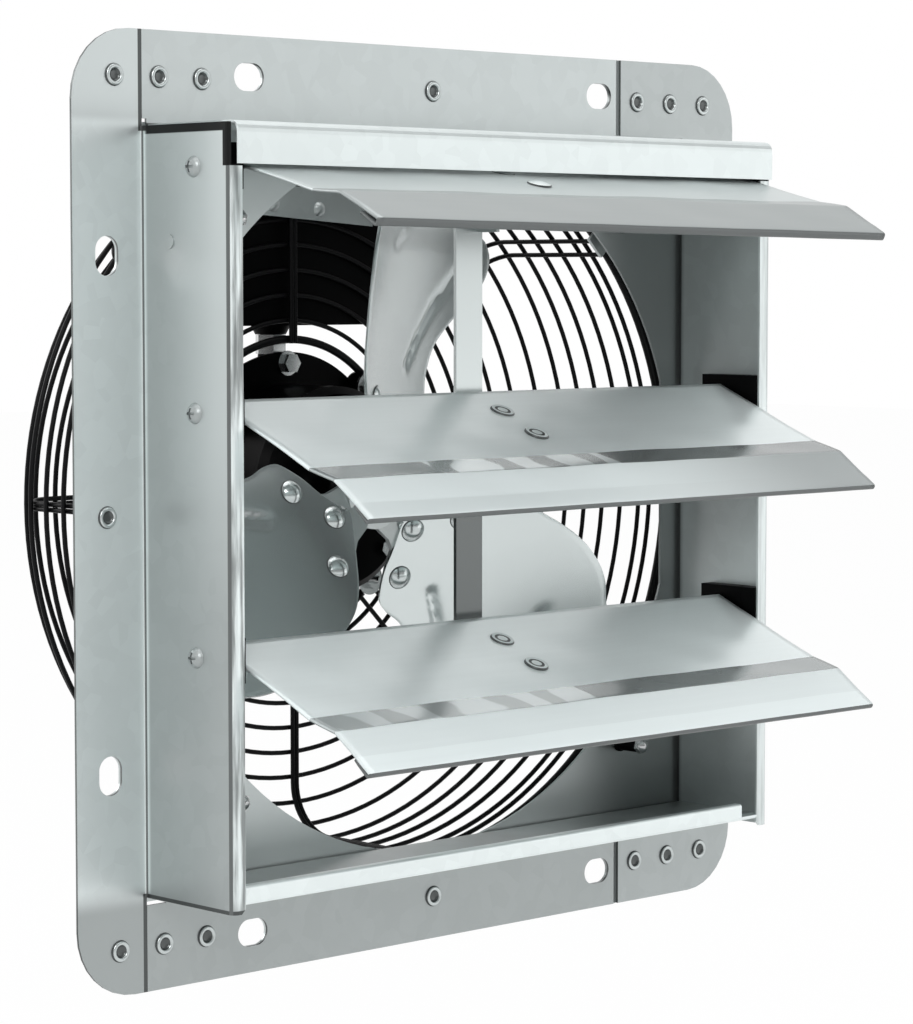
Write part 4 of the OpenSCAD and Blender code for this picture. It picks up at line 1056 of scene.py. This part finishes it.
# %% Hollow rivets of the sheets: a raised ring, with painted shade on its centre and its lower edge
HOLLOW = [(0, -0.1, 1), (1.3, -0.1, 1), (2.0, 0.1, 1), (2.3, 0.7, 1), (2.55, 0.92, 0),
          (2.9, 1.0, 0), (3.3, 0.97, 0), (3.65, 0.75, 0), (3.85, 0.4, 2), (4.0, 0.1, 2),
          (4.0, 0.0, 2), (2.4, 0.0, 2), (2.4, -2.0, 2), (3.1, -2.0, 0), (3.1, -3.6, 0),
          (0, -3.6, 0)]
ROW_Z, ROW_X, SIDE_RIVET_X = 153.7, (0, 112.4, 131.8, 151.5, -112.4, -131.8, -151.5), 155.9
rivet_places = [(x, side * ROW_Z) for x in ROW_X for side in (-1, 1)]
rivet_places += [(-SIDE_RIVET_X, 0), (SIDE_RIVET_X, 0)]
sheet_rivets = turned("hollow_rivets", [((x, 0, z), FORWARD) for x, z in rivet_places], HOLLOW,
                      (rivet_zinc, rivet_hole_shade, rivet_edge_shade))
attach(sheet_rivets, "frame")
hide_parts("flange_rivets")
print("sheet rivets:", len(rivet_places))

# %% Domed rivets of the blades, square to the sloping sheet
BLADE_RIVETS = ((24.0, 0.0), (35.5, 15.0), (35.5, -15.0))


def on_blade(rho, tau, angle):
    x, z = around(rho, tau, angle)
    slope = -PITCH - 2 * CAMBER * tau
    across = Vector((-math.sin(angle), slope, math.cos(angle)))
    outward = Vector((math.cos(angle), 0, math.sin(angle)))
    normal = across.cross(outward).normalized()
    return (x, blade_flat(tau), z), normal if normal.y < 0 else -normal


rivet_spots = [on_blade(rho, tau, math.radians(degrees)) for degrees in BLADE_ANGLES.values()
               for rho, tau in BLADE_RIVETS]
blade_domes = turned("blade_rivet_domes", rivet_spots, dome_profile(4.9, 2.2, 2.75, 1.0),
                     (blade_rivet, rivet_edge_shade))
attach(blade_domes, "fan")
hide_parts("blade_rivets")
print("blade rivets:", len(rivet_spots))

# %% [markdown]
# ## Louvers
# A louver is one bent sheet: a flat, a short rise, a front strip and a hem folded under it. The
# top one is slightly twisted. Rounded bends and shallow waves come from a fine grid, and each
# strip gets its own material, whose tone paints the light and shade that strip gets. Places on a
# louver are a distance from its pivot and a height.

# %% Louver profile
# Each strip's finish is a material whose tone is painted light and shade.
LOUVERS = {  # tilt in degrees, twist in millimetres, finishes from the pivot to the lip
    "top": (13.3, 2.8, (top_flat, top_rise, top_front, top_front)),
    "middle": (23.2, 0.0, (flat_metal, middle_fold, middle_front, middle_lip)),
    "bottom": (23.2, 0.0, (flat_metal, bottom_fold, front_metal, bright_lip)),
}
HEMS = {"top": 3.5, "middle": 2.6, "bottom": 2.6}
PIVOT_END, FIRST_FOLD, SECOND_FOLD, TIP = (-1.2, 4.2), (52.8, 4.2), (65.9, 6.2), (87.2, 1.6)
BEND_RADII = (5, 5, 1.1, 1.25)
HEM_DEPTH, HEM_CLOSE, LIP_FROM = 9, 0.7, 79
BEND_POINTS, PROFILE_STEP = 6, 2.5


def rounded(path, radii):
    out = [path[0]]
    for before, corner, after, radius in zip(path[:-2], path[1:-1], path[2:], radii):
        a, b, c = Vector(before), Vector(corner), Vector(after)
        u, v = (b - a).normalized(), (c - b).normalized()
        turn = u.angle_signed(v)
        start = b - u * radius * math.tan(abs(turn) / 2)
        centre = start + Vector((u.y, -u.x)) * (radius if turn > 0 else -radius)
        arm = start - centre
        for k in range(BEND_POINTS + 1):
            x, y = around(arm.x, arm.y, -turn * k / BEND_POINTS)
            out.append((centre.x + x, centre.y + y))
    out.append(path[-1])
    return out


def louver_profile(hem):
    fold, tip = Vector(SECOND_FOLD), Vector(TIP)
    u = (tip - fold).normalized()
    down = Vector((u.y, -u.x))
    under = tip + hem * down
    end = under - HEM_DEPTH * u - HEM_CLOSE * down
    path = rounded([PIVOT_END, FIRST_FOLD, SECOND_FOLD, TIP, tuple(under), tuple(end)],
                   BEND_RADII)
    fine = [path[0]]
    for first, second in zip(path[:-1], path[1:]):
        count = max(1, round(math.dist(first, second) / PROFILE_STEP))
        fine += [between(first, second, k / count) for k in range(1, count + 1)]
    return fine


PROFILES = {label: louver_profile(hem) for label, hem in HEMS.items()}
print("profile points:", {label: len(profile) for label, profile in PROFILES.items()})

# %% Louver meshes
LOUVER_HALF, LOUVER_COLUMNS, LOUVER_SHEET = 131, 88, 0.95
HEM_STRIP = 4


def on_louver(label, x, s, n):
    tilt = math.radians(LOUVERS[label][0])
    c, d = math.cos(tilt), math.sin(tilt)
    return x, PIVOT_Y - s * c - n * d, PIVOT_Z[label] - s * d + n * c


def strip_of(s):
    return sum(s >= edge for edge in (FIRST_FOLD[0], SECOND_FOLD[0], LIP_FROM))


def uneven(x, s, twist):
    lift = 0.12 * math.sin(x / 17 + s / 9) + 0.1 * math.sin(x / 7.5 - s / 6)
    lift *= max(0.0, min(1.0, (s - 8) / 20)) * (0.3 if s > 80 else 1.0)
    twisted = (x + LOUVER_HALF) / (2 * LOUVER_HALF) * max(0.0, s / TIP[0]) ** 2.5
    return lift - twist * twisted


def louver_mesh(label):
    _, twist, finishes = LOUVERS[label]
    profile = PROFILES[label]
    hem_from = max(range(len(profile)), key=lambda k: profile[k][0]) - 3
    points, faces, strips = [], [], []
    for s, n in profile:
        for column in range(LOUVER_COLUMNS + 1):
            x = LOUVER_HALF * (2 * column / LOUVER_COLUMNS - 1)
            place = on_louver(label, x, s, n + uneven(x, s, twist))
            points.append(tuple(value * MM for value in place))
    across = LOUVER_COLUMNS + 1
    for run, (first, second) in enumerate(zip(profile[:-1], profile[1:])):
        strip = HEM_STRIP if run >= hem_from else strip_of((first[0] + second[0]) / 2)
        for column in range(LOUVER_COLUMNS):
            i = run * across + column
            faces.append((i, i + 1, i + across + 1, i + across))
            strips.append(strip)
    mesh = bpy.data.meshes.new(f"{label}_louver_sheet")
    mesh.from_pydata(points, [], faces)
    for finish in (*finishes, hem_metal):
        mesh.materials.append(finish)
    mesh.polygons.foreach_set("material_index", strips)
    mesh.polygons.foreach_set("use_smooth", [True] * len(mesh.polygons))
    mesh.update()
    if mesh.polygons[0].normal.z < 0:
        mesh.flip_normals()
    made = put(f"{label}_louver_sheet", mesh)
    wall = made.modifiers.new("wall", "SOLIDIFY")
    wall.thickness = LOUVER_SHEET * MM
    wall.offset = -1.0
    wall.use_even_offset = True
    return made


# %% Louver ears, which hold the pivots
EAR_BACK, EAR_FRONT, EAR_TOP, EAR_R, EAR_SHEET = -18.0, 1.2, 3.7, 5.5, 1


def louver_ears(label):
    outline = [(EAR_BACK, EAR_TOP), (EAR_FRONT, EAR_TOP)]
    outline += [around(EAR_R, 0, math.radians(a)) for a in range(16, -155, -10)]
    shape = bmesh.new()
    inner = LOUVER_HALF - EAR_SHEET
    for sides in ((-LOUVER_HALF, -inner), (inner, LOUVER_HALF)):
        rims = [[shape.verts.new(Vector(on_louver(label, x, -y, n)) * MM) for y, n in outline]
                for x in sides]
        shape.faces.new(rims[0])
        shape.faces.new(rims[1][::-1])
        for k in range(len(outline)):
            m = (k + 1) % len(outline)
            shape.faces.new((rims[0][m], rims[0][k], rims[1][k], rims[1][m]))
    bmesh.ops.recalc_face_normals(shape, faces=shape.faces)
    mesh = bpy.data.meshes.new(f"{label}_louver_ears")
    shape.to_mesh(mesh)
    shape.free()
    mesh.materials.append(LOUVERS[label][2][0])
    return put(f"{label}_louver_ears", mesh)


# %% [markdown]
# ## Put the louvers together
# Each louver gets its sheet, its ears and its two rivets, all on the louver's own body. The two
# lower louvers' rivets have a raised ring around a shallow dish; the top one's pass close under
# the roof and stay plain domes.

# %% Louvers
RIVET_X, RIVET_AT = -7, (16, 35.5)
LOUVER_RIVET_R, LOUVER_RIVET_H, BEHIND, BEHIND_HEAD = 4.7, 1.0, 2.0, 0.9
# A dished head takes painted shade on the groove around its dish and on its rim.
DISHED = [(0, 0.7, 0), (2.0, 0.68, 0), (2.7, 0.5, 1), (3.1, 0.62, 1), (3.5, 0.95, 0),
          (3.9, LOUVER_RIVET_H, 0), (4.35, 0.8, 0), (4.6, 0.35, 1),
          (LOUVER_RIVET_R, HEAD_GAP, 1), *shank(BEHIND, BEHIND_HEAD)]
DOMED = dome_profile(LOUVER_RIVET_R, LOUVER_RIVET_H, BEHIND, BEHIND_HEAD)

for label in LOUVERS:
    sheet = louver_mesh(label)
    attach(sheet, f"{label}_louver")
    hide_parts(f"louver_{label}")
    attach(louver_ears(label), f"{label}_louver")
    square = Vector(on_louver(label, 0, 0, 1)) - Vector(on_louver(label, 0, 0, 0))
    heads = turned(f"{label}_louver_rivets",
                   [(on_louver(label, RIVET_X, at, PIVOT_END[1]), square) for at in RIVET_AT],
                   DOMED if label == "top" else DISHED, (pale_rivet, rivet_edge_shade))
    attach(heads, f"{label}_louver")
    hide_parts(f"bracket_rivets_{label}")
    print(label, "louver faces:", len(sheet.data.polygons))

# %% [markdown]
# ## Floor
# A plain pale floor lies below the fan. The camera and reflections see it almost white, and it
# keeps a soft shadow.

# %% Floor
FLOOR_Z, FLOOR_HALF, FLOOR_WHITE = -0.26, 6, 0.975
floor_mesh = bpy.data.meshes.new("floor")
floor_mesh.from_pydata([(x * FLOOR_HALF, y * FLOOR_HALF, FLOOR_Z)
                        for x, y in ((-1, -1), (1, -1), (1, 1), (-1, 1))], [], [(0, 1, 2, 3)])
floor = put("floor", floor_mesh)
floor_paint = plain("floor", (0.9, 0.9, 0.9), 0.0, 0.9)
floor_mesh.materials.append(floor_paint)
tree = floor_paint.node_tree
floor_ray = tree.nodes.new("ShaderNodeLightPath")
seen = math_node(tree, "MAXIMUM", floor_ray.outputs["Is Camera Ray"],
                 floor_ray.outputs["Is Glossy Ray"])
glow = tree.nodes.new("ShaderNodeEmission")
glow.inputs["Color"].default_value = (*WHITE, 1)
blend = tree.nodes.new("ShaderNodeMixShader")
tree.links.new(math_node(tree, "MULTIPLY", seen, FLOOR_WHITE), blend.inputs[0])
tree.links.new(tree.nodes["Principled BSDF"].outputs[0], blend.inputs[1])
tree.links.new(glow.outputs[0], blend.inputs[2])
tree.links.new(blend.outputs[0], tree.nodes["Material Output"].inputs[0])
print("floor at", FLOOR_Z)
